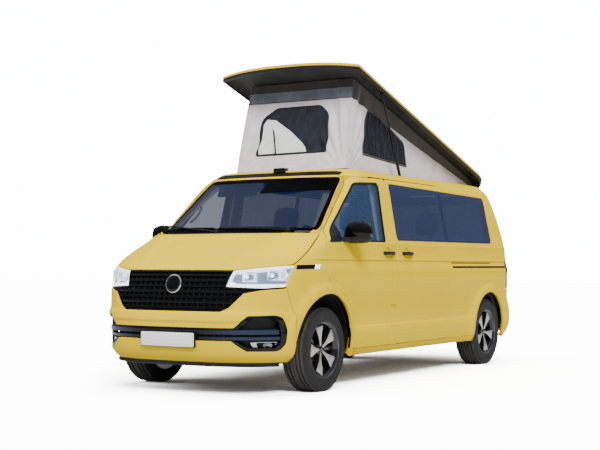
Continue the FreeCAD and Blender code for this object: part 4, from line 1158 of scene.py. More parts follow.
def front_lamps():
    """Headlamps with twin modules, and the small lamps low in the bumper."""
    bowl = panel("headlamp_bowl_left", LAMP, BOWL, "body", "lamp", where="front", inset=0.050,
                 depth=0)
    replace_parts(bowl, "headlamps")
    # the rim takes the glowing pale finish: painted light
    rim = panel("headlamp_rim_left", LAMP, GLOW, "body", "lamp", where="front", inset=0.010,
                holes=[grow(LAMP, -0.011)], depth=0.035, roll=0.002)
    lens = panel("headlamp_lens_left", LAMP, LENS, "body", "lamp", where="front", depth=0.012,
                 roll=0.002)

    def strip_light(bm):
        foot = rounded([(0.500, 0.868), (0.525, 0.905), (0.560, 0.886), (0.860, 0.884),
                        (0.872, 0.868)], 0.006)
        pour(bm, front_panel(foot, 0.02, 0.020, both=False, roll=0.003))

    glow = solid("headlamp_strip_left", strip_light, GLOW, "body")

    def modules(bm):
        for x, z, wide in ((0.632, 0.940, 0.062), (0.792, 0.952, 0.082)):
            spot = end_point(x, z, 0.040)
            away = Vector((0.25 + (x - 0.628), -1, 0)).normalized()
            made = lathe(bm, [(0.001, -0.024), (0.022, -0.020), (0.036, 0.004), (0.046, 0.024),
                              (0.048, 0.030), (0.051, 0.024), (0.054, -0.020)], (0, 0, 0),
                         (0, -1, 0), 4)
            bmesh.ops.scale(bm, vec=(wide * 24, 1, 1.15), verts=made)
            bmesh.ops.rotate(bm, cent=(0, 0, 0), verts=made,
                             matrix=away.to_track_quat("-Y", "Z").to_matrix())
            bmesh.ops.translate(bm, vec=spot, verts=made)

    def bulbs(bm):
        for x, z in ((0.610, 0.940), (0.770, 0.952), (0.836, 0.955)):
            lathe(bm, [(0, 0.018), (0.008, 0.016), (0.014, 0.009), (0.017, 0.0),
                       (0.018, -0.01)], end_point(x, z, 0.036), (0.3, -1, 0), 20)

    chrome = solid("headlamp_modules_left", modules, SILVERED, "body", smooth=60)
    glass = solid("headlamp_bulbs_left", bulbs, GLOW, "body", smooth=60)
    wall = panel("headlamp_wall_left", grow(LAMP, 0.0015), MOULDED, where="front",
                 inset=0.0135, holes=[grow(LAMP, -0.0015)], depth=0.045, roll=0.0008)
    back = panel("headlamp_back_left", LAMP, MOULDED, where="front", inset=0.057, depth=0.060,
                 roll=0.01)
    for piece in (bowl, rim, lens, glow, chrome, glass, wall, back):
        mirror_piece(piece, "body")

    fog = panel("fog_bezel_left", rounded([(0.684, 0.374), (0.826, 0.372), (0.838, 0.434),
                (0.668, 0.434)], 0.01), CHROME, "body", "lamp", where="front", inset=0.030,
                holes=[rounded([(0.712, 0.384), (0.800, 0.382), (0.806, 0.426),
                                (0.706, 0.426)], 0.008)], depth=0.02, roll=0.004)

    def fog_lamp(bm):
        spot = end_point(0.757, 0.405, 0.045)
        made = lathe(bm, [(0, 0.014), (0.016, 0.012), (0.026, 0.004), (0.030, -0.004),
                          (0.034, 0.010), (0.037, 0.012), (0.040, -0.02)], spot,
                     (0.55, -1, 0), 28)
        bmesh.ops.scale(bm, vec=(1.0, 1.0, 0.62), space=Matrix.Translation(-spot), verts=made)

    lamp = solid("fog_lamp_left", fog_lamp, CHROME, "body", smooth=50)
    for piece in (fog, lamp):
        mirror_piece(piece, "body")


def side_trim():
    """Marker slots behind the headlamps, and the sliding door's tracks."""
    slot = [(F - 0.422, 1.000), (F - 0.133, 1.004), (F - 0.112, 1.040), (F - 0.405, 1.036)]
    marker = panel("marker_left", rounded(slot, 0.004), GLOSS, "body", "gloss_black",
                   inset=-0.0015, depth=0.006, roll=0.0015, x_least=0.6)
    tip = [(F - 0.212, 1.003), (F - 0.146, 1.005), (F - 0.120, 1.041), (F - 0.196, 1.039)]
    end = panel("marker_end_left", tip, GLOW, "body", "lamp", inset=-0.0030, depth=0.004,
                roll=0.001, x_least=0.6)
    for piece in (marker, end):
        mirror_piece(piece, "body")
    rails = [
        [(SLIDE_BACK + 0.028, 1.0560), (SLIDE_BACK + 1.030, 1.0575),
         (SLIDE_BACK + 1.034, 1.0690), (SLIDE_BACK + 0.024, 1.0670)],
        [(SLIDE_BACK + 0.050, 1.0100), (R + 0.514, 1.0120), (R + 0.514, 1.0330),
         (SLIDE_BACK + 0.046, 1.0310)],
    ]
    gather("sliding_tracks", [panel_mesh(rounded(rail, 0.004), 0.014, -0.0012, x_least=0.5,
                                         roll=0.0012) for rail in rails], SEAL)


front_end()
front_lamps()
side_trim()

# ---------------------------------------------------------------- glass and seals
WINDSCREEN = rounded(grow(SCREEN, 0.012), [0.05, 0.05, 0.07, 0.07])
SCUTTLE = [(-0.1, 1.297), (0.824, 1.297), (0.800, 1.3105), (-0.1, 1.3105)]


def seal(name, outline, hole, body, inset, depth, slot="dark_trim", finish=SEAL, **more):
    """A band between two outlines, set in or on the panel."""
    return panel(name, outline, finish, body, slot, holes=[hole], inset=inset, depth=depth,
                 roll=0.0018, **more)


def glazing():
    """Every window: pane, black edge and seal."""
    half = [(max(p[0], -0.05), p[1]) for p in WINDSCREEN]
    pane = panel("windscreen_pane", half, SCREEN_GLASS, "body", "screen", where="front",
                 both=True, inset=0.006, depth=0)
    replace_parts(pane, "windscreen")
    edge = rounded(grow(SCREEN, -0.026), 0.02)
    seal("windscreen_border", half, past_middle(edge), "body", 0.0045, 0.012, "gloss_black",
         PRINT, where="front", both=True)
    # a flat black sheet on the inside of the glass: painted shade where the folded visor shows dark
    # through it
    visor_shade_patch = rounded([(-0.028, 1.673), (0.730, 1.690), (0.700, 1.800), (-0.060, 1.800)], 0.012)
    panel("sun_visor_left", visor_shade_patch, PRINT, where="front", inset=0.0042, depth=0.012, roll=0.001)
    panel("scuttle", SCUTTLE, MOULDED, where="front", both=True, inset=0.006, depth=0.030,
          roll=0.004)
    header = rounded([(-0.1, 1.834), (0.655, 1.834), (0.665, 1.862), (0.600, 1.874),
                      (-0.1, 1.874)], [0, 0.008, 0.01, 0.03, 0])
    panel("header_strip", header, SEAL, where="front", both=True, inset=-0.004, depth=0.008,
          roll=0.003)

    panes = pair("door_pane", grow(DOOR_HOLE, 0.006), DOOR_GLASS, DOOR_BODIES, "screen",
                 inset=0.016, depth=0, x_least=0.6)
    for piece, node in zip(panes, ("door_glass_left", "door_glass_right")):
        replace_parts(piece, node)
    left = seal("door_seal_left", grow(DOOR_HOLE, 0.002), grow(DOOR_HOLE, -0.014),
                DOOR_BODIES[0], 0.004, 0.014)
    mirror_piece(left, DOOR_BODIES[1])
    sail = rounded([(F + 0.055, 1.222), (F + 0.262, 1.228), (F + 0.262, 1.404),
                    (F + 0.236, 1.385)], [0.01, 0.012, 0.02, 0.02])
    pair("mirror_sail", sail, MOULDED, DOOR_BODIES, inset=-0.002, depth=0.018, roll=0.004,
         x_least=0.6)

    for name, outline, node in (("slide_pane", SLIDE_HOLE, "cabin_glass"),
                                ("quarter_pane", QUARTER_HOLE, None)):
        left = pair(name, grow(outline, -0.0030), DARK_GLASS, "body", "privacy", inset=0.002,
                    depth=0.006, roll=0.0015)[0]
        if node:
            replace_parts(left, node)
        mirror_piece(seal(name + "_edge_left", grow(outline, 0.004), grow(outline, -0.010),
                          "body", 0.012, 0.010))
    for name, finish, slot, fore, aft, proud in (
        ("window_join", DARK_GLASS, "privacy", -0.021, 0.009, 0.0006),
        ("window_seam", SEAL, "dark_trim", -0.003, 0.003, 0.0012),
    ):
        outline = [(SLIDE_BACK + fore, BELT + 0.015), (SLIDE_BACK + aft, BELT + 0.015),
                   (SLIDE_BACK + aft - 0.003, 1.775), (SLIDE_BACK + fore - 0.003, 1.775)]
        pair(name, outline, finish, "body", slot, inset=-proud, depth=0.003, roll=0.0006)


# ---------------------------------------------------------------- roof, lid and tent
LID_BACK = 2.150
HINGE = Vector((0, 2.140, 1.915))
TILT = math.radians(16.5)
HALF_LID = 0.745
LID_FRONT = -1.095
RIM = 1.903
HALF_TENT = 0.590
TENT_FRONT = -0.814
TENT_BACK = 2.040


def raised(point):
    """A place on the shut lid, carried up to where the open lid holds it."""
    return HINGE + Matrix.Rotation(-TILT, 3, "X") @ (Vector(point) - HINGE)


def roof_ring():
    """Pillars, header and cant rails in one skin, and the plate round the roof's opening."""
    ring = [
        (NOSE - 0.1, 1.3185), (DOOR_BACK - 0.30, 1.3185), (DOOR_BACK - 0.30, ROOF_EDGE - 0.0025),
        (TAIL + 0.1, ROOF_EDGE - 0.0025), (TAIL + 0.1, ROOF_TOP + 0.01),
        (NOSE - 0.1, ROOF_TOP + 0.01),
    ]
    openings = off(DOOR_CUT) + off(WINDSCREEN, view=END_VIEW)
    shell = panel("roof_skin", ring, PAINT, "body", "paint", both=True, depth=0, cuts=openings)
    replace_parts(shell, "roof_frame")
    pair("door_frame", ring[:2] + [(DOOR_BACK - 0.30, 1.829), (NOSE - 0.1, 1.829)], PAINT,
         "body", "paint", x_least=0.5, depth=0.055, cuts=openings)

    bm = bmesh.new()
    outer = [surface(c, ROOF_TOP) for c in range(0, COLUMN_COUNT + 1, 2)]
    outer += [Vector((-p.x, p.y, p.z)) for p in reversed(outer[1:-1])]
    middle = (outer[0].y + outer[len(outer) // 2].y) / 2
    half_y = abs(outer[0].y - middle)
    half_x = max(p.x for p in outer)
    loops = []
    for share, rise in ((0, 0), (0.10, 0.008), (0.30, 0.013), (0.60, 0.014), (1.0, 0.014),
                        (1.0, -0.020)):
        loop = []
        for point in outer:
            inner = Vector((point.x * 0.542 / half_x, 0.37 + (point.y - middle) * 1.13 / half_y,
                            0))
            co = point.lerp(inner, share)
            channel = (ramp(abs(co.x), 0.63, 0.66) * ramp(co.y, -0.75, -0.60)
                       * (1 - ramp(co.y, 0.15, 0.30)))
            co.z = ROOF_TOP + rise - 0.011 * channel
            loop.append(co)
        loops.append(loop)
    rings(bm, loops)
    bmesh.ops.recalc_face_normals(bm, faces=bm.faces)
    if sum(f.normal.z for f in bm.faces) < 0:
        bmesh.ops.reverse_faces(bm, faces=bm.faces)
    new_piece("roof_plate", bm, PAINT, "body")


def lid_edge(inset, z):
    """The lid's outline drawn in by some distance, at a height, as seen with the lid shut."""
    half = HALF_LID - inset
    back = LID_BACK - inset
    points = []
    for k in range(25):
        x = half * math.sin(QUARTER * k / 24)
        bow = 0.125 * abs(x / half) ** 2.6
        points.append(Vector((x, LID_FRONT + inset + bow, z)))
    corner = points[-1]
    points[-1] = corner + Vector((0, 0.022, 0))
    points[-2] = points[-2] + Vector((0, 0.004, 0))
    for k in range(1, 41):
        y = corner.y + 0.03 + (back - 0.30 - corner.y - 0.03) * k / 40
        points.append(Vector((half, y, z)))
    bend = min(0.16, 0.7 * half)
    for k in range(1, 13):
        turn = QUARTER * k / 12
        points.append(Vector((half - bend + bend * math.cos(turn),
                              back - 0.30 + 0.30 * math.sin(turn), z)))
    for k in range(1, 9):
        points.append(Vector(((half - bend) * (1 - k / 8), back, z)))
    return points + [Vector((-p.x, p.y, p.z)) for p in reversed(points[1:-1])]


def lid_shell(bm, sections, close=True):
    """Loops of the lid's outline joined up; the last one is closed over if asked."""
    edges = rings(bm, [[raised(p) for p in lid_edge(inset, z)] for inset, z in sections])
    if close:
        bmesh.ops.holes_fill(bm, edges=edges[-1], sides=0)


def roof_lid():
    """The moulded lid: painted outside, black lip, dark lined underside."""
    def outside(bm):
        lid_shell(bm, [(0.010, RIM + 0.028), (0.002, RIM + 0.029), (0.0, RIM + 0.033),
                       (0.001, RIM + 0.047), (0.006, RIM + 0.056), (0.022, RIM + 0.067),
                       (0.062, RIM + 0.081), (0.15, RIM + 0.095), (0.28, RIM + 0.106),
                       (0.45, RIM + 0.113), (0.62, RIM + 0.116)])

    def lip(bm):
        lid_shell(bm, [(0.026, RIM + 0.030), (0.026, RIM + 0.004), (0.020, RIM), (0.007, RIM),
                       (0.002, RIM + 0.004), (0.002, RIM + 0.030)], close=False)

    def underside(bm):
        lid_shell(bm, [(0.018, RIM + 0.010), (0.040, RIM + 0.024), (0.060, RIM + 0.046),
                       (0.12, RIM + 0.056), (0.30, RIM + 0.060), (0.60, RIM + 0.062)])

    made = solid("lid_outside", outside, PAINT, "roof_lid", smooth=50)
    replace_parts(made, "roof_lid")
    solid("lid_lip", lip, MOULDED, "roof_lid", smooth=50)
    solid("lid_underside", underside, DARK_LINING, "roof_lid", smooth=50)

    def hinge_parts(bm):
        for side in (-1, 1):
            x = side * 0.632
            block(bm, (x - 0.022, 2.02, 1.892), (x + 0.022, 2.16, 1.899), 0.002)
            block(bm, (x - 0.004, 2.08, 1.896), (x + 0.004, 2.15, 1.912), 0.002)
            lathe(bm, [(0, -0.022), (0.007, -0.022), (0.008, -0.02), (0.008, 0.02),
                       (0.007, 0.022), (0, 0.022)], (x, HINGE.y, HINGE.z), (1, 0, 0), 20)

    def hinge_arms(bm):
        for side in (-1, 1):
            x = side * 0.655
            points = [raised((x, 2.140, 1.915)), raised((x, 2.05, 1.935)), raised((x, 1.86, 1.945))]
            bar(bm, points, 0.008)
            for y in (1.88, 1.96):
                lathe(bm, [(0, -0.004), (0.016, -0.004), (0.017, 0.0), (0.012, 0.004), (0, 0.005)],
                      raised((x, y, 1.945)), (0, 0, -1), 6)

    solid("roof_hinges", hinge_parts, MOULDED)
    solid("roof_hinge_arms", hinge_arms, MOULDED, "roof_lid")

    def catch(bm):
        z = end_point(0, 1.875).z
        block(bm, (-0.022, -1.065, z - 0.004), (0.102, -0.985, z + 0.040), 0.012, 3)
        block(bm, (0.012, -1.072, z + 0.004), (0.068, -1.055, z + 0.028), 0.004)
        block(bm, (-0.008, -1.000, z + 0.016), (0.088, -0.965, z + 0.044), 0.008)

    solid("roof_catch", catch, GLOSS, "body")


def lid_under(y):
    """Height of the raised lid's underside above a place along the van."""
    return HINGE.z + (HINGE.y - y) * math.tan(TILT) + 0.030 * math.cos(TILT)


TENT_TOP = raised((0, LID_FRONT + 0.367, 1.945))
FRONT_PANE = rounded([(-0.388, 2.067), (0.360, 2.077), (0.345, 2.430), (0.240, 2.517),
                      (-0.235, 2.514), (-0.372, 2.415)], [0.006, 0.02, 0.10, 0.10, 0.10, 0.10])
CLEAR_PART = [(-0.378, 2.074), (-0.356, 2.37), (-0.325, 2.415), (-0.235, 2.405), (-0.05, 2.285),
              (0.085, 2.175), (0.128, 2.130), (0.150, 2.076)]
SIDE_PANE = rounded([(-0.462, 2.066), (0.459, 2.013), (0.433, 2.238), (-0.185, 2.485),
                     (-0.33, 2.487), (-0.385, 2.379)], [0.006, 0.006, 0.10, 0.06, 0.06, 0.10])
FOOT_Z = ROOF_TOP + 0.014


def tent_seam(y):
    """Height of the seam between the cloth and the band above it."""
    return 2.576 - (y + 0.640) * 0.2525


def fold(kind, along, rise, size, side):
    """How far the cloth stands out: it pulls in between its edges and strains from its corners."""
    bow = math.sin(math.pi * rise) ** 0.8
    turn = math.atan2(along, rise * size + 0.05)
    strain = math.exp(-((along - 0.12) / 0.15) ** 2)
    out = 0.0200 * strain * math.sin(25 * turn + 2.7 * side + 2.2 * rise) * bow
    tall = min(size / 0.3, 1)
    out += 0.0045 * noise.noise(Vector((along * 4.5 * side, rise * 2.0, 7))) * bow * tall
    if kind == "front":
        return out - 0.014 * bow * min(along / 0.4, 1)
    out += 0.0028 * math.sin(along * 21 + rise * 5) * bow * ramp(along, 0.9, 1.6) * tall
    return out - 0.018 * bow * min(size / 0.5, 1) * min(along / 0.5, 1)


def tent_wall(kind, side=1, proud=0.0, slack=1.0):
    """One wall of the tent as a grid: front, side or back; slack 0 is the wall with no folds."""
    wide = {"front": 72, "side": 150, "back": 24}[kind]
    bm = bmesh.new()
    rows = 46
    bmesh.ops.create_grid(bm, x_segments=wide, y_segments=rows, size=1.0)
    for vert in bm.verts:
        across, rise = (vert.co.x + 1) / 2, (vert.co.y + 1) / 2
        if kind == "side":
            y = TENT_FRONT + (TENT_BACK - TENT_FRONT) * across
            top_y = TENT_TOP.y + (TENT_BACK - TENT_TOP.y) * across
            foot = Vector((HALF_TENT, y, FOOT_Z))
            head = Vector((0.556 + 0.02 * across, top_y, max(lid_under(top_y), FOOT_Z + 0.012)))
            along = y - TENT_FRONT
        else:
            y = TENT_FRONT if kind == "front" else TENT_BACK
            top_y = TENT_TOP.y if kind == "front" else TENT_BACK
            x = HALF_TENT * (2 * across - 1)
            narrow = 0.556 / HALF_TENT if kind == "front" else 0.576 / HALF_TENT
            foot = Vector((x, y, FOOT_Z))
            head = Vector((x * narrow, top_y, max(lid_under(top_y), FOOT_Z + 0.012)))
            along = HALF_TENT - abs(x)
        size = head.z - foot.z
        free = min(along / 0.05, 1) if kind != "back" else 0
        which = side if kind == "side" else (1 if foot.x >= 0 else -1)
        out = fold(kind, along, rise, size, which) * free * slack + proud
        corner = -0.010 * slack * math.sin(math.pi * rise) ** 0.8 * (1 - free) * min(size / 0.5, 1)
        co = foot.lerp(head, rise)
        if kind == "side":
            co.x = (co.x + out + corner) * side
        elif kind == "front":
            co.y -= out
            co.x += math.copysign(corner, foot.x)
        else:
            co.y += proud
        vert.co = co
    bm.normal_update()
    wanted = {"front": (0, -1, 0), "side": (side, 0, 0), "back": (0, 1, 0)}[kind]
    if sum((f.normal.dot(Vector(wanted)) for f in bm.faces)) < 0:
        bmesh.ops.reverse_faces(bm, faces=bm.faces)
    return bm


def below_seam(kind, rise=0.0):
    """The outline under the band's seam, in the wall's own view."""
    if kind == "front":
        return strip(1.0, tent_seam(-0.640) + rise, -2, 2)
    return [(-3, 1.0), (3, 1.0), (3, tent_seam(3) + rise), (-3, tent_seam(-3) + rise)]


def tent():
    """Cloth walls, band, windows, piping and the strap inside; the cloth under the lid is darkened
    as painted shade.
    """
    panes = {"front": (FRONT_PANE, END_VIEW), "side": (SIDE_PANE, SIDE_VIEW)}
    walls, bands, shaded_tops, borders, dark, clear = [], [], [], [], [], []
    cut_area = 0.0
    for kind, side in (("front", 1), ("side", 1), ("side", -1), ("back", 1)):
        outline, view = panes.get(kind, (None, SIDE_VIEW))
        # the wall as it is cut, only to be measured, and as it hangs
        flat_wall, lower = tent_wall(kind, side, slack=0.0), tent_wall(kind, side)
        if kind != "back":
            for wall in (flat_wall, lower):
                trim(wall, below_seam(kind), view)
                trim(wall, outline, view, False)
        cut_area += sum(face.calc_area() for face in flat_wall.faces)
        flat_wall.free()
        walls.append(lower)
        if kind == "back":
            continue
        band = tent_wall(kind, side)
        trim(band, below_seam(kind), view, False)
        if kind == "front":
            trim(band, below_seam(kind, 0.100), view)
            high = tent_wall(kind, side)
            trim(high, below_seam(kind, 0.100), view, False)
            # above the band the cloth is painted shade
            shaded_tops.append(high)
            bands.append(band)
        else:
            # on the sides all the cloth above the seam is painted shade
            shaded_tops.append(band)
        edge = tent_wall(kind, side, 0.003)
        trim(edge, grow(outline, 0.009), view)
        trim(edge, grow(outline, -0.011), view, False)
        borders.append(edge)
        seam_line = tent_wall(kind, side, 0.003)
        trim(seam_line, below_seam(kind, 0.004), view)
        trim(seam_line, below_seam(kind, -0.004), view, False)
        shaded_tops.append(seam_line)
        pane = tent_wall(kind, side, 0.001)
        trim(pane, outline, view)
        if kind == "front":
            glass = tent_wall(kind, side, 0.001)
            trim(glass, CLEAR_PART, view)
            clear.append(glass)
            trim(pane, CLEAR_PART, view, False)
        (clear if side < 0 else dark).append(pane)
    made = [
        gather(name, meshes, finish, "body", 60) for name, meshes, finish in (
            ("tent_cloth", walls, TENT), ("tent_band", bands, TENT_BAND),
            ("tent_top_cloth_painted_shade", shaded_tops, TENT_SHADE), ("tent_window_edges", borders, TENT_PIPING),
            ("tent_windows", dark, TENT_MESH), ("tent_clear_panes", clear, TENT_CLEAR),
        )
    ]
    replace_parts(made[0], "canvas")

    def strap(bm):
        bar(bm, [(-0.290, TENT_FRONT + 0.150, 2.40), (-0.215, TENT_FRONT + 0.085, 2.24),
                 (-0.150, TENT_FRONT - 0.004, 2.065)], 0.007)

    made.append(solid("tent_strap", strap, SEAL))

    def foot_strip(bm):
        ring = strip(TENT_FRONT - 0.012, TENT_BACK + 0.012, -HALF_TENT - 0.012,
                     HALF_TENT + 0.012)
        inner = grow(ring, -0.016)
        for a, b, c, d in zip(ring, ring[1:] + ring[:1], inner[1:] + inner[:1], inner):
            slab(bm, [a, b, c, d], PLAN_VIEW, FOOT_Z - 0.004, FOOT_Z + 0.009)

    solid("tent_foot_strip", foot_strip, SEAL)
    for piece in made:
        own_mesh(piece)


glazing()
roof_ring()
roof_lid()
tent()

# ---------------------------------------------------------------- wheels
PETAL = [
    (0.030, -0.010), (0.060, -0.0115), (0.090, -0.016), (0.120, -0.0245), (0.150, -0.036),
    (0.180, -0.050), (0.190, -0.052), (0.2055, 0.048), (0.198, 0.0525), (0.170, 0.045),
    (0.140, 0.034), (0.110, 0.0235), (0.080, 0.0155), (0.055, 0.0115), (0.030, 0.010),
]
DISH = 0.024
HUB, OUTWARD = (0, 0, 0), (1, 0, 0)


def petals(bm, outline, low, high, bevel, twist=0.0):
    """Five arms of the wheel from one outline of distance out and sideways."""
    for k in range(5):
        made = slab(bm, outline, SIDE_VIEW, low, high, bevel, 2)
        for vert in made:
            reach = math.hypot(vert.co.y, vert.co.z)
            vert.co.x -= DISH * (1 - min(reach / 0.20, 1)) ** 1.5
        turn = Matrix.Rotation(math.radians(36 + 72 * k) + twist, 3, "X")
        bmesh.ops.rotate(bm, cent=(0, 0, 0), matrix=turn, verts=made)


def wheel_parts():
    """Builders for one wheel about its own middle, its face towards +X."""
    def tyre(bm):
        side = [(0.226, 0.098), (0.231, 0.106), (0.240, 0.110), (0.252, 0.113), (0.256, 0.1150),
                (0.262, 0.1145), (0.285, 0.117), (0.304, 0.1155), (0.308, 0.1165), (0.312, 0.1145),
                (0.322, 0.111), (0.331, 0.1045), (0.3365, 0.096)]
        ribs = [(0.3375, 0.094), (0.3385, 0.074), (0.3310, 0.071), (0.3310, 0.064), (0.3395, 0.061),
                (0.3398, 0.040), (0.3325, 0.037), (0.3325, 0.029), (0.3400, 0.026), (0.3400, 0.0)]
        half = side + ribs
        profile = half + [(r, -x) for r, x in reversed(half[:-1])]
        lathe(bm, profile, HUB, OUTWARD, 96)
        raised_faces = [f for f in bm.faces if math.hypot(f.calc_center_median().y,
                        f.calc_center_median().z) > 0.3340 and abs(f.normal.x) < 0.55]
        bmesh.ops.inset_individual(bm, faces=raised_faces, thickness=0.0052, depth=0.0050)

    def rim(bm):
        lathe(bm, [(0.190, -0.108), (0.229, -0.110), (0.231, -0.104), (0.222, -0.098),
                   (0.196, -0.060), (0.190, 0.0), (0.196, 0.050), (0.205, 0.078),
                   (0.210, 0.088), (0.219, 0.0925), (0.225, 0.096), (0.228, 0.104),
                   (0.232, 0.1085), (0.2345, 0.1065), (0.235, 0.101), (0.226, 0.094)],
              HUB, OUTWARD, 96)
        wider = [(reach + (0.008 if reach > 0.15 else 0.0),
                  aside * 1.10 + math.copysign(0.004, aside)) for reach, aside in PETAL]
        petals(bm, wider, 0.045, 0.0905, 0.003)
        petals(bm, [(0.05, -0.010), (0.19, -0.019), (0.200, 0.019), (0.05, 0.010)], 0.020,
               0.060, 0.004, math.radians(36))
        lathe(bm, [(0.0, 0.020), (0.058, 0.020), (0.064, 0.030), (0.060, 0.060), (0.050, 0.068),
                   (0.034, 0.0705), (0.033, 0.066), (0.0, 0.066)], HUB, OUTWARD, 40)

    def faces(bm):
        petals(bm, PETAL, 0.0895, 0.0925, 0.0008)

    def cap(bm):
        lathe(bm, [(0, 0.0755), (0.014, 0.0750), (0.024, 0.0730), (0.028, 0.0700), (0.029, 0.064)],
              HUB, OUTWARD, 32)
        for k in range(5):
            turn = math.radians(72 * k)
            spot = (0, 0.052 * math.cos(turn), 0.052 * math.sin(turn))
            lathe(bm, [(0, 0.0700), (0.006, 0.0695), (0.009, 0.066), (0.010, 0.050)], spot,
                  OUTWARD, 6)

    def disc(bm):
        lathe(bm, [(0.060, -0.020), (0.150, -0.020), (0.152, -0.018), (0.152, 0.004),
                   (0.150, 0.006), (0.085, 0.006), (0.078, 0.014), (0.060, 0.014),
                   (0.058, -0.01), (0.060, -0.020)],
              HUB, OUTWARD, 64)

    def lip(bm):
        lathe(bm, [(0.2275, 0.1030), (0.2290, 0.1065), (0.2318, 0.1092), (0.2335, 0.1080)], HUB,
              OUTWARD, 96)

    return [("tread", tyre, RUBBER, "tyre", 35), ("rim_shell", rim, WHEEL_BLACK, "alloy", 40),
            ("rim_faces", faces, MACHINED, "alloy", 30),
            ("wheel_cap", cap, WHEEL_BLACK, "alloy", 40),
            ("brake_disc", disc, CASTING, "steel", 40),
            ("rim_lip", lip, RIM_EDGE_HIGHLIGHT, "alloy", 40)]


def wheels():
    """Four wheels from one set of builders."""
    for name, build, finish, slot, smooth in wheel_parts():
        bm = bmesh.new()
        build(bm)
        first = new_piece(name + "_front_left", bm, finish, None, smooth, flip_check=True)
        shape = first.data
        for where, side, axle in (("front_left", 1, FRONT_AXLE), ("front_right", -1, FRONT_AXLE),
                                  ("rear_left", 1, REAR_AXLE), ("rear_right", -1, REAR_AXLE)):
            mesh = shape.copy()
            # the rear wheels stand turned a little from the front ones
            twist = math.radians(0 if axle == FRONT_AXLE else 24)
            mesh.transform(Matrix.Rotation(twist, 4, "X"))
            if side < 0:
                swap_sides(mesh)
            mesh.transform(Matrix.Translation((side * HALF_TRACK, axle, WHEEL_RADIUS)))
            if where == "front_left":
                piece = first
                first.data = mesh
            else:
                piece = bpy.data.objects.new(f"{name}_{where}", mesh)
                bpy.context.scene.collection.objects.link(piece)
            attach(piece, "wheel_" + where)
            if name == "tread":
                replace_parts(piece, "tyre_" + where)
            if name == "rim_shell":
                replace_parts(piece, "rim_" + where)


def egg(bm, centre, radii, square=0.75, cuts=(24, 16)):
    """A rounded housing: a ball drawn out towards a box."""
    made = bmesh.ops.create_uvsphere(bm, u_segments=cuts[0], v_segments=cuts[1],
                                     radius=1.0)["verts"]
    for vert in made:
        vert.co = Vector([math.copysign(abs(c) ** square, c) * r for c, r in zip(vert.co, radii)])
    bmesh.ops.translate(bm, vec=centre, verts=made)
    return made


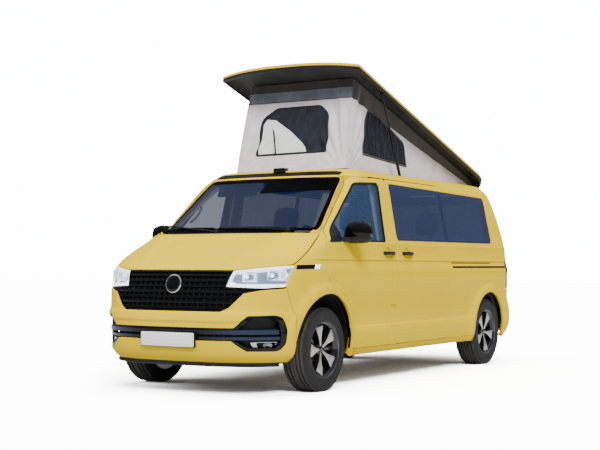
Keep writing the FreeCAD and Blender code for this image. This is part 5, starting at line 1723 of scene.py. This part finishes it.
def outer_fittings():
    """Mirrors, door handles with their cups, and wipers."""
    head = Vector((1.024, -1.356, 1.314))

    def housing(bm):
        made = egg(bm, head, (0.124, 0.080, 0.090), 0.70, (32, 20))
        for vert in made:
            rel = vert.co - head
            if rel.y > 0.030:
                vert.co.y = head.y + 0.030 + (rel.y - 0.030) * 0.10
            if rel.x < 0:
                vert.co.z += 0.012 * (rel.x / 0.124) if rel.z > 0 else 0
                vert.co.y -= 0.016 * (rel.x / 0.124)
            if rel.z > 0.0:
                vert.co.x -= 0.10 * rel.z * (1 if rel.x > 0 else 0.2)

    def foot(bm):
        made = egg(bm, head + Vector((-0.004, 0.000, -0.046)), (0.1245, 0.078, 0.050), 0.70)
        for vert in made:
            if vert.co.z > head.z - 0.044:
                vert.co.z = head.z - 0.044
            if vert.co.y > head.y + 0.032:
                vert.co.y = head.y + 0.032
        bar(bm, [(0.918, -1.470, 1.252), (0.955, -1.440, 1.250), (1.000, -1.390, 1.258),
                 (1.040, -1.360, 1.272)], 0.021)

    def glass(bm):
        outline = rounded([(0.920, 1.262), (1.126, 1.262), (1.134, 1.340), (1.104, 1.388),
                           (0.950, 1.380), (0.912, 1.330)], 0.03)
        slab(bm, outline, END_VIEW, head.y + 0.0335, head.y + 0.0385, 0.001)

    for name, build, finish, slot in (("mirror_cap", housing, GLOSS, "gloss_black"),
                                      ("mirror_foot", foot, MOULDED, "dark_trim"),
                                      ("mirror_glass", glass, CHROME, "screen")):
        made = solid(name + "_left", build, finish, "front_door_left", smooth=50)
        other = mirror_piece(made, "front_door_right")
        if name == "mirror_cap":
            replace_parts(made, "mirror_left")
            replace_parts(other, "mirror_right")

    z = 1.143
    for name, middle, bodies in (("front_handle", -0.640, DOOR_BODIES),
                                 ("slide_handle", -0.262, ("body", None))):
        def grip(bm, middle=middle):
            ends = [side_point(middle + d, z).x for d in (-0.10, 0.10)]
            x = sum(ends) / 2
            points = [(x - 0.006, middle - 0.078, z), (x + 0.010, middle - 0.074, z),
                      (x + 0.028, middle - 0.052, z), (x + 0.031, middle, z + 0.001),
                      (x + 0.028, middle + 0.050, z), (x + 0.010, middle + 0.074, z),
                      (x - 0.006, middle + 0.080, z)]
            bar(bm, points, 0.0165)
            egg(bm, (x + 0.012, middle + 0.084, z), (0.017, 0.020, 0.018), 0.8, (16, 10))

        def cup(bm, middle=middle):
            x = side_point(middle, z).x
            lathe(bm, [(0.052, 0.0010), (0.050, 0.0018), (0.044, -0.004), (0.030, -0.013),
                       (0.0, -0.017)], (x, middle - 0.012, z + 0.002), (1, 0, 0), 40)

        left = solid(name + "_left", grip, MOULDED, bodies[0], smooth=60)
        # the cups take the darker yellow: painted shade
        shell = solid(name + "_cup_left", cup, SHADED_CUP, bodies[0], smooth=60)
        if bodies[1]:
            mirror_piece(left, bodies[1])
            mirror_piece(shell, bodies[1])

    def wiper_arms(bm):
        for pivot, reach in ((0.600, -0.080), (-0.060, -0.700)):
            half_way = (pivot + reach) / 2
            a, m, b = (end_point(x, z, -0.016)
                       for x, z in ((pivot, 1.316), (half_way, 1.346), (reach, 1.352)))
            a.x, m.x, b.x = pivot, half_way, reach
            bar(bm, [a, a.lerp(m, 0.5) + Vector((0, -0.010, 0.006)), m, b], 0.006)
            lathe(bm, [(0, 0.016), (0.012, 0.015), (0.018, 0.008), (0.020, -0.02)], a,
                  (0, -0.5, 1), 20)

    def wiper_blades(bm):
        for first, last in ((0.500, -0.060), (-0.140, -0.690)):
            points = []
            for k in range(9):
                x = first + (last - first) * k / 8
                spot = end_point(x, 1.350 + 0.004 * math.sin(math.pi * k / 8), -0.004)
                spot.x = x
                points.append(spot)
            bar(bm, points, 0.0055)

    arms = solid("wiper_arms", wiper_arms, MOULDED, smooth=60)
    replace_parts(arms, "wipers")
    solid("wiper_blades", wiper_blades, SEAL, smooth=60)


def rear_end():
    """Tailgate, rear window, tail lamps and rear bumper."""
    gate_half = [(-0.05, 0.566), (0.7895, 0.566), (0.7895, 1.100), (0.7495, 1.260),
                 (0.6375, ROOF_EDGE - 0.0085), (-0.05, ROOF_EDGE - 0.0085)]
    window = rounded([(-0.4, 1.130), (0.690, 1.130), (0.570, 1.740), (-0.4, 1.740)],
                     [0, 0.05, 0.06, 0])
    recess = rounded([(-0.4, 0.830), (0.290, 0.830), (0.320, 1.020), (-0.4, 1.020)],
                     [0, 0.02, 0.02, 0])
    gate = panel("tailgate_skin", gate_half, PAINT, "tailgate", "paint", where="rear", both=True,
                 holes=[window, recess], depth=0.040, roll=0.003)
    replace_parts(gate, "tailgate")
    panel("tailgate_recess", grow(recess, 0.003), PAINT, "tailgate", "paint", where="rear",
          both=True, inset=0.016, depth=0)
    panel("tailgate_lining", gate_half, LINING, "tailgate", where="rear", both=True,
          holes=[grow(window, -0.004)], inset=0.052, depth=0)
    pane = panel("tailgate_pane", grow(window, 0.006), DARK_GLASS, "tailgate", "privacy",
                 where="rear", both=True, inset=0.006, depth=0)
    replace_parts(pane, "tailgate_glass")
    seal("tailgate_seal", grow(window, 0.002), grow(window, -0.012), "tailgate", 0.003, 0.012,
         where="rear", both=True)
    y_low = end_point(0.0, 0.92, 0.016, True).y

    def rear_plate(bm):
        slab(bm, rounded(strip(0.846, 0.957, -0.260, 0.260), 0.012), END_VIEW, y_low + 0.006,
             y_low + 0.010, 0.0008)

    def gate_handle(bm):
        y = end_point(0.0, 0.995, 0.0, True).y
        slab(bm, rounded(strip(0.972, 1.012, -0.300, 0.300), 0.012), END_VIEW, y - 0.014,
             y + 0.006, 0.004)

    def gate_wiper(bm):
        y = end_point(0.0, 1.150, 0.0, True).y
        lathe(bm, [(0, 0.030), (0.018, 0.028), (0.026, 0.016), (0.030, -0.01)], (0, y, 1.150),
              (0, 1, 0.2), 24)
        points = []
        for k in range(7):
            x = -0.02 - 0.46 * k / 6
            spot = end_point(x, 1.165 + 0.004 * k, -0.020, True)
            spot.x = x
            points.append(spot)
        bar(bm, points, 0.007)

    solid("rear_plate", rear_plate, PLATE, "tailgate")
    solid("tailgate_handle", gate_handle, PAINT, "tailgate")
    solid("tailgate_wiper", gate_wiper, MOULDED, "tailgate", smooth=60)

    lamp = pair("tail_lamp", strip(0.792, 1.083, R + 0.4755, TAIL + 0.1), RED, "body",
                "red_lamp", cuts=GATE_CORNER, depth=0.030, roll=0.006, inset=-0.002,
                x_least=0.3)
    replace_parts(lamp[0], "tail_lamps")
    pair("tail_lamp_window", strip(0.905, 0.965, R + 0.520, TAIL + 0.1), GLOW, "body", "lamp",
         cuts=GATE_CORNER, depth=0.004, roll=0.001, inset=-0.0045, x_least=0.3)

    bumper = [(R + 0.404, 0.268), (R + 0.52, 0.306), (TAIL + 0.1, 0.312),
              (TAIL + 0.1, BUMPER_TOP - 0.001), (R + 0.404, BUMPER_TOP - 0.001)]
    made = panel("rear_bumper_skin", bumper, PAINT, "body", "paint", both=True, inset=-0.004,
                 depth=0.045, roll=0.005, cuts=off(REAR_ARCH))
    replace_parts(made, "rear_bumper")
    mark = strip(0.430, 0.448, R + 0.900, R + 0.950)
    pair("bumper_reflector", rounded(mark, 0.003), RED, "body", "red_lamp", inset=-0.0065,
         depth=0.003, roll=0.001, x_least=0.3)
    panel("bumper_step", strip(0.5565, 0.5600, -0.05, 0.72), MOULDED, where="rear", both=True,
          inset=-0.004, depth=0.060, roll=0.001)


wheels()
outer_fittings()
rear_end()

# ---------------------------------------------------------------- inside
WHEEL_AXIS = Vector((0, 0.5736, 0.8192))
WHEEL_CENTRE = Vector((-0.370, -1.100, 1.080))


def cushion(bm, low, high, crown=0.03, pull=0.012, channels=(), across=(), lean=0.0, about=None,
            face="z", square=7):
    """A stuffed block: crowned face, sides pulled in between the corners, sewn channels."""
    pad = bmesh.new()
    bmesh.ops.create_cube(pad, size=2.0)
    bmesh.ops.subdivide_edges(pad, edges=pad.edges, cuts=19, use_grid_fill=True)
    made = list(pad.verts)
    low, high = Vector(low), Vector(high)
    half, middle = (high - low) / 2, (high + low) / 2
    k = "xyz".index(face)
    for vert in made:
        u = vert.co.copy()
        length = max(abs(c) for c in u)
        power = sum(abs(c) ** square for c in u) ** (1 / square)
        soft = u * (length / power) if power else u
        co = Vector([middle[i] + soft[i] * half[i] for i in range(3)])
        others = [i for i in range(3) if i != k]
        swell = (1 - u[others[0]] ** 2) * (1 - u[others[1]] ** 2)
        if abs(u[k]) > 0.999:
            co[k] += math.copysign(crown * swell, u[k])
            seams = [(others[0], c) for c in channels] + [(others[1], c) for c in across]
            for axis, place_at in seams:
                gap = abs(u[axis] - place_at)
                co[k] -= math.copysign(0.011 * math.exp(-(gap / 0.055) ** 2), u[k])
        for i in others:
            if abs(u[i]) > 0.999:
                j = others[0] if i == others[1] else others[1]
                co[i] -= math.copysign(pull * (1 - u[j] ** 2), u[i])
        vert.co = co
    if lean:
        bmesh.ops.rotate(pad, cent=about or middle, matrix=Matrix.Rotation(lean, 3, "X"),
                         verts=made)
    pour(bm, pad)


SEAT_LEAN = math.radians(-14)


def seat_row(name, places, front, wide, node):
    """Seats side by side: pads, bolsters and bases, each of one piece for the row."""
    pads, bolsters, bases = bmesh.new(), bmesh.new(), bmesh.new()
    half = wide / 2
    lean = Matrix.Rotation(SEAT_LEAN, 3, "X")
    y = front
    for x in places:
        hip = Vector((x, y + 0.50, 0.66))
        upright = {"lean": SEAT_LEAN, "about": hip, "face": "y"}
        cushion(pads, (x - half + 0.07, y, 0.615), (x + half - 0.07, y + 0.50, 0.735), 0.022,
                channels=(-0.42, 0.42), across=(0.25,))
        cushion(pads, (x - half + 0.075, y + 0.455, 0.70), (x + half - 0.075, y + 0.575, 1.300),
                0.020, 0.010, channels=(-0.45, 0.45), across=(-0.2, 0.35), **upright)
        cushion(pads, (x - 0.140, y + 0.480, 1.375), (x + 0.140, y + 0.575, 1.640), 0.016,
                0.008, square=3, **upright)
        for side in (-1, 1):
            edge = x + side * (half - 0.045)
            cushion(bolsters, (edge - 0.045, y + 0.02, 0.620), (edge + 0.045, y + 0.50, 0.760),
                    0.012, 0.006)
            cushion(bolsters, (edge - 0.045, y + 0.440, 0.74), (edge + 0.045, y + 0.570, 1.250),
                    0.012, 0.008, **upright)
        block(bases, (x - half + 0.05, y + 0.02, 0.402), (x + half - 0.05, y + 0.46, 0.600),
              0.025, 3)
        block(bases, (x - half + 0.06, y + 0.575, 0.72), (x + half - 0.06, y + 0.610, 1.27),
              0.016, 3, lean, hip)
        for side in (-1, 1):
            bar(bases, [hip + lean @ (Vector((x + side * 0.06, y + 0.525, z)) - hip)
                        for z in (1.25, 1.35, 1.45)], 0.007)
    made = [new_piece(name + "_pads", pads, SEAT, "body", 60, True),
            new_piece(name + "_bolsters", bolsters, SEAT_SIDE, "body", 60, True)]
    new_piece(name + "_bases", bases, MOULDED, "body", 40, True)
    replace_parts(made[0], node)


def cabin():
    """Dashboard, steering wheel, visors, pale pillar trim and the lining of the cab."""
    def dash(bm):
        side_shape = rounded([(-1.715, 1.235), (-1.520, 1.252), (-1.330, 1.245),
                              (-1.190, 1.205), (-1.105, 1.090), (-1.135, 0.985),
                              (-1.235, 0.845), (-1.360, 0.800), (-1.700, 0.800)],
                             [0.02, 0.10, 0.06, 0.05, 0.04, 0.05, 0.04, 0.04, 0.02])
        slab(bm, side_shape, SIDE_VIEW, -0.785, 0.785, 0.012, 3)

    def hood(bm):
        egg(bm, (-0.370, -1.300, 1.235), (0.215, 0.115, 0.052), 0.75)
        block(bm, (-0.105, -1.120, 0.900), (0.105, -1.085, 1.110), 0.012, 3)
        for x in (-0.70, 0.70, -0.165, 0.165):
            lathe(bm, [(0, 0.010), (0.030, 0.010), (0.036, 0.014), (0.042, 0.010),
                       (0.044, -0.03)], (x, -1.122, 1.120), (0, 1, 0.35), 24)

    def display(bm):
        slab(bm, rounded(strip(1.000, 1.098, -0.092, 0.092), 0.008), END_VIEW, -1.084, -1.080,
             0.001)

    def wheel_rim(bm):
        ring = [(0.185 + 0.0165 * math.cos(FULL * k / 14), 0.0165 * math.sin(FULL * k / 14))
                for k in range(15)]
        lathe(bm, ring, WHEEL_CENTRE, WHEEL_AXIS, 64)
        made = egg(bm, (0, 0, 0.0), (0.070, 0.062, 0.024), 0.7)
        for x, y in ((-0.125, 0.012), (0.125, 0.012), (0.0, -0.120)):
            a, b, c = (0.060, 0.014, 0.008) if y > 0 else (0.016, 0.060, 0.008)
            made += block(bm, (x - a, y - b, -c), (x + a, y + b, c), 0.006)
        turn = WHEEL_AXIS.to_track_quat("Z", "Y").to_matrix()
        bmesh.ops.rotate(bm, cent=(0, 0, 0), matrix=turn, verts=made)
        bmesh.ops.translate(bm, vec=WHEEL_CENTRE - WHEEL_AXIS * 0.012, verts=made)

    def column(bm):
        bar(bm, [WHEEL_CENTRE - WHEEL_AXIS * down for down in (0.03, 0.12, 0.24)], 0.036)
        stalk = WHEEL_CENTRE - WHEEL_AXIS * 0.05
        for side in (-1, 1):
            bar(bm, [stalk, stalk + Vector((side * 0.15, 0, 0.01))], 0.007, False)

    def visors(bm):
        turn = Matrix.Rotation(math.radians(-24), 3, "X")
        for x in (0.345, -0.345):
            block(bm, (x - 0.215, -1.150, 1.655), (x + 0.215, -1.130, 1.790), 0.008, 2, turn)

    solid("dash_top", dash, DARK_LINING)
    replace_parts(solid("dash_hood", hood, MOULDED, smooth=60), "dashboard")
    solid("dash_screen", display, GLOSS, "body")
    made = solid("steering_rim", wheel_rim, MOULDED, "steering_wheel", smooth=60)
    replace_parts(made, "steering_wheel")
    solid("steering_column", column, MOULDED, smooth=60)
    solid("sun_visors", visors, DARK_LINING)

    def pillar_trim(bm):
        rows = []
        for k in range(13):
            t = k / 12
            z = 1.225 + 0.585 * t
            front = -1.775 + 0.685 * t
            wide = 0.200 - 0.080 * t
            rows.append([bm.verts.new(side_point(front + 0.03 + wide * u, z, 0.045 + 0.030 * u))
                         for u in (0.0, 0.25, 0.5, 0.75, 1.0)])
        for row, above in zip(rows, rows[1:]):
            for a, b, c, d in zip(row, row[1:], above[1:], above):
                bm.faces.new((a, b, c, d))

    left = solid("pillar_trim_left", pillar_trim, PALE, smooth=60)
    left.modifiers.new("wall", "SOLIDIFY").thickness = 0.010
    mirror_piece(left)
    post = [(DOOR_BACK - 0.168, 1.225), (DOOR_BACK + 0.020, 1.225), (DOOR_BACK, 1.800),
            (DOOR_BACK - 0.158, 1.800)]
    pair("post_trim", post, PALE, inset=0.085, depth=0.020, x_least=0.5)

    def grab(bm):
        bar(bm, [(0.690, -1.420, 1.420), (0.655, -1.400, 1.440), (0.625, -1.330, 1.540),
                 (0.650, -1.300, 1.560)], 0.011)

    solid("grab_handle_left", grab, PALE, smooth=60, mirror="body")

    windows = [grow(rounded(window, 0.03), 0.006) for window in (SLIDE_WINDOW, QUARTER_WINDOW)]
    left = panel("roof_side_lining_left", strip(0.42, 1.86, DOOR_BACK + 0.04, TAIL - 0.42),
                 LINING, holes=windows + [grow(REAR_ARCH, -0.004)], inset=0.075, depth=0,
                 x_least=0.3)
    left.data.flip_normals()
    mirror_piece(left)

    bm = bmesh.new()
    slab(bm, rounded([(-0.655, -0.990), (0.655, -0.990), (0.640, 2.100), (-0.640, 2.100)], 0.08),
         PLAN_VIEW, 1.828, 1.834)
    trim(bm, strip(-0.760, 1.500, -0.540, 0.540), PLAN_VIEW, False)
    new_piece("headlining", bm, LINING, "body")

    def floor_cover(bm):
        half = [(0.860, -1.200), (0.860, 1.230), (0.690, 1.230), (0.690, 2.080), (0.880, 2.080),
                (0.880, 2.200), (0.800, 2.460), (0.620, 2.570)]
        slab(bm, half + [(-x, y) for x, y in reversed(half)], PLAN_VIEW, 0.4005, 0.406)

    solid("floor_cover", floor_cover, DARK_LINING, "body")

    def card(bm):
        slab(bm, rounded([(-1.060, 0.868), (-0.600, 0.880), (-0.600, 0.930), (-1.040, 0.922)],
                         0.014), SIDE_VIEW, 0.832, 0.900, 0.012, 3)
        slab(bm, rounded([(-1.080, 0.430), (-0.600, 0.430), (-0.600, 0.560), (-1.100, 0.590)],
                         0.03), SIDE_VIEW, 0.838, 0.900, 0.014, 3)
        bar(bm, [(0.850, -1.020, 0.975), (0.838, -0.990, 1.000), (0.838, -0.930, 1.020),
                 (0.850, -0.900, 1.030)], 0.010)
        lathe(bm, [(0, 0.012), (0.050, 0.011), (0.078, 0.008), (0.086, 0.0), (0.088, -0.02)],
              (0.872, -1.170, 0.640), (-1, 0, 0), 36)

    solid("door_card_left", card, MOULDED, "front_door_left", smooth=50,
          mirror="front_door_right")


FINISHES = {
    "floor_pan": UNDER, "front_subframe": CASTING, "rear_axle": CASTING,
    "engine_block": CASTING, "exhaust": PIPE, "arch_liners": FELT, "knuckle_left": CASTING,
    "knuckle_right": CASTING,
}


def finish_nodes():
    """Own finishes for the pieces of the frame that stay in sight."""
    for node, finish in FINISHES.items():
        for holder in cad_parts[node].material_slots:
            holder.material = finish


def fuel_tank():
    """Blow-moulded tank with two straps, tucked up under the floor."""
    low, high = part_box("fuel_tank")

    def shell(bm):
        block(bm, (low.x, low.y, low.z + 0.055), (high.x - 0.03, high.y, high.z), 0.045, 5)

    def straps(bm):
        for share in (0.28, 0.72):
            y = low.y + (high.y - low.y) * share
            block(bm, (low.x + 0.02, y - 0.018, low.z + 0.051),
                  (high.x - 0.05, y + 0.018, high.z), 0.004)

    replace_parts(solid("fuel_tank_shell", shell, MOULDED, smooth=60), "fuel_tank")
    solid("fuel_tank_straps", straps, PIPE, "body")


STRUT_EYE = [(0, -0.011), (0.010, -0.011), (0.012, -0.009), (0.012, 0.009), (0.010, 0.011),
             (0, 0.011)]


def gas_struts():
    """Black gas struts between the roof rim and the lid."""
    foot = Vector((0.690, 0.078, 1.905))
    pin = Vector((0.690, -0.2883, 2.6427))
    along = (pin - foot).normalized()
    barrel_end = (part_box("strut_barrel_left")[1].z - foot.z) / along.z
    length = (pin - foot).length

    def barrel(bm):
        lathe(bm, [(0, 0.006), (0.012, 0.008), (0.0145, 0.014), (0.0145, barrel_end - 0.010),
                   (0.0125, barrel_end - 0.003), (0.0085, barrel_end), (0, barrel_end)], foot,
              along, 28)
        lathe(bm, STRUT_EYE, foot, (1, 0, 0), 20)

    def rod(bm):
        lathe(bm, [(0, barrel_end - 0.02), (0.0072, barrel_end - 0.02), (0.0072, length - 0.03),
                   (0.0105, length - 0.026), (0.0105, length - 0.004), (0, length)], foot,
              along, 20)
        lathe(bm, STRUT_EYE, pin, (1, 0, 0), 20)

    def foot_plate(bm):
        block(bm, (0.678, 0.074, 1.878), (0.702, 0.112, 1.892), 0.003)
        block(bm, (0.685, 0.074, 1.888), (0.695, 0.096, 1.900), 0.002)

    solid("strut_foot_left", foot_plate, MOULDED, mirror="body")
    for name, build in (("strut_barrel", barrel), ("strut_rod", rod)):
        left = solid(name + "_tube_left", build, GLOSS, name + "_left", smooth=50)
        right = mirror_piece(left, name + "_right")
        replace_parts(left, name + "_left")
        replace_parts(right, name + "_right")


seat_row("front_seat", (-0.370, 0.370), -1.005, 0.480, "front_seats")
seat_row("rear_seat", (-0.295, 0.295), 0.800, 0.585, "rear_bench")
cabin()
fuel_tank()
gas_struts()
finish_nodes()

# ---------------------------------------------------------------- floor, light and camera
THROUGH_GLASS = 1.6
FLOOR_WHITE, SKY_WHITE = 5.5, 15.0


def open_view(tree, bright, dim):
    """Studio white where it is looked at straight, dimmer through glass, and dim as a light.

    dim is a number or a socket."""
    seen = add(tree, "LightPath")
    direct = add(tree, "Math", {"operation": "LESS_THAN"}, i0=seen.outputs["Transparent Depth"])
    direct.inputs[1].default_value = 0.5
    seen_as = add(tree, "Math", {"operation": "MULTIPLY_ADD"}, i0=direct.outputs["Value"])
    seen_as.inputs[1].default_value = bright - THROUGH_GLASS
    seen_as.inputs[2].default_value = THROUGH_GLASS
    value = add(tree, "Math", {"operation": "MULTIPLY_ADD"}, i0=seen.outputs["Is Camera Ray"],
                i1=seen_as.outputs["Value"])
    if isinstance(dim, float):
        value.inputs[2].default_value = dim
    else:
        tree.links.new(dim, value.inputs[2])
    return value.outputs["Value"]


def studio():
    """A pale floor and soft light from all round."""
    bm = bmesh.new()
    bmesh.ops.create_grid(bm, x_segments=1, y_segments=1, size=60.0)
    floor_tone, tree, shader = material("studio_floor", "C4C4C4", 0.9, Specular_IOR_Level=0.0)
    tree.links.new(open_view(tree, FLOOR_WHITE, 0.50), shader.inputs["Base Color"])
    floor = new_piece("studio_floor", bm, floor_tone, None)
    world = bpy.data.worlds.new("studio")
    world.use_nodes = True
    background = world.node_tree.nodes["Background"]
    background.inputs["Color"].default_value = rgb("F8FAFF")
    tree = world.node_tree
    look = add(tree, "TexCoord")
    parts = add(tree, "SeparateXYZ", i0=look.outputs["Generated"])
    sky = add(tree, "MapRange", {"From Min": -0.1, "From Max": 0.9, "To Min": 0.12, "To Max": 0.52},
              Value=parts.outputs["Z"])
    tree.links.new(open_view(tree, SKY_WHITE, sky.outputs["Result"]), background.inputs["Strength"])
    bpy.context.scene.world = world
    for name, spot, size, power in (
        ("key", (8, -9, 10), 24, 4.35), ("fill", (-9, -7, 8), 40, 1.25),
        ("back", (2, 9, 9), 50, 1.3), ("top", (0, 0, 1), 46, 1.6),
    ):
        lamp = bpy.data.lights.new(name, "SUN")
        lamp.angle = math.radians(size)
        lamp.energy = power
        holder = bpy.data.objects.new(name, lamp)
        holder.location = spot
        holder.rotation_euler = Vector(spot).to_track_quat("Z", "Y").to_euler()
        holder.visible_glossy = False
        bpy.context.scene.collection.objects.link(holder)


def camera():
    """A standing viewer's lens, from ahead and to the left of the van."""
    lens = bpy.data.cameras.new("camera")
    lens.lens = 74.007
    lens.sensor_width = 36.0
    lens.clip_end = 200
    holder = bpy.data.objects.new("camera", lens)
    yaw, pitch, roll = 0.544731, 0.0332696, 0.002898
    turn = Matrix.Rotation(yaw, 4, "Z") @ Matrix.Rotation(QUARTER + pitch, 4, "X")
    holder.matrix_world = Matrix.Translation((5.992, -10.511, 1.0265)) @ turn @ Matrix.Rotation(
        roll, 4, "Z")
    bpy.context.scene.collection.objects.link(holder)
    bpy.context.scene.camera = holder


studio()
camera()
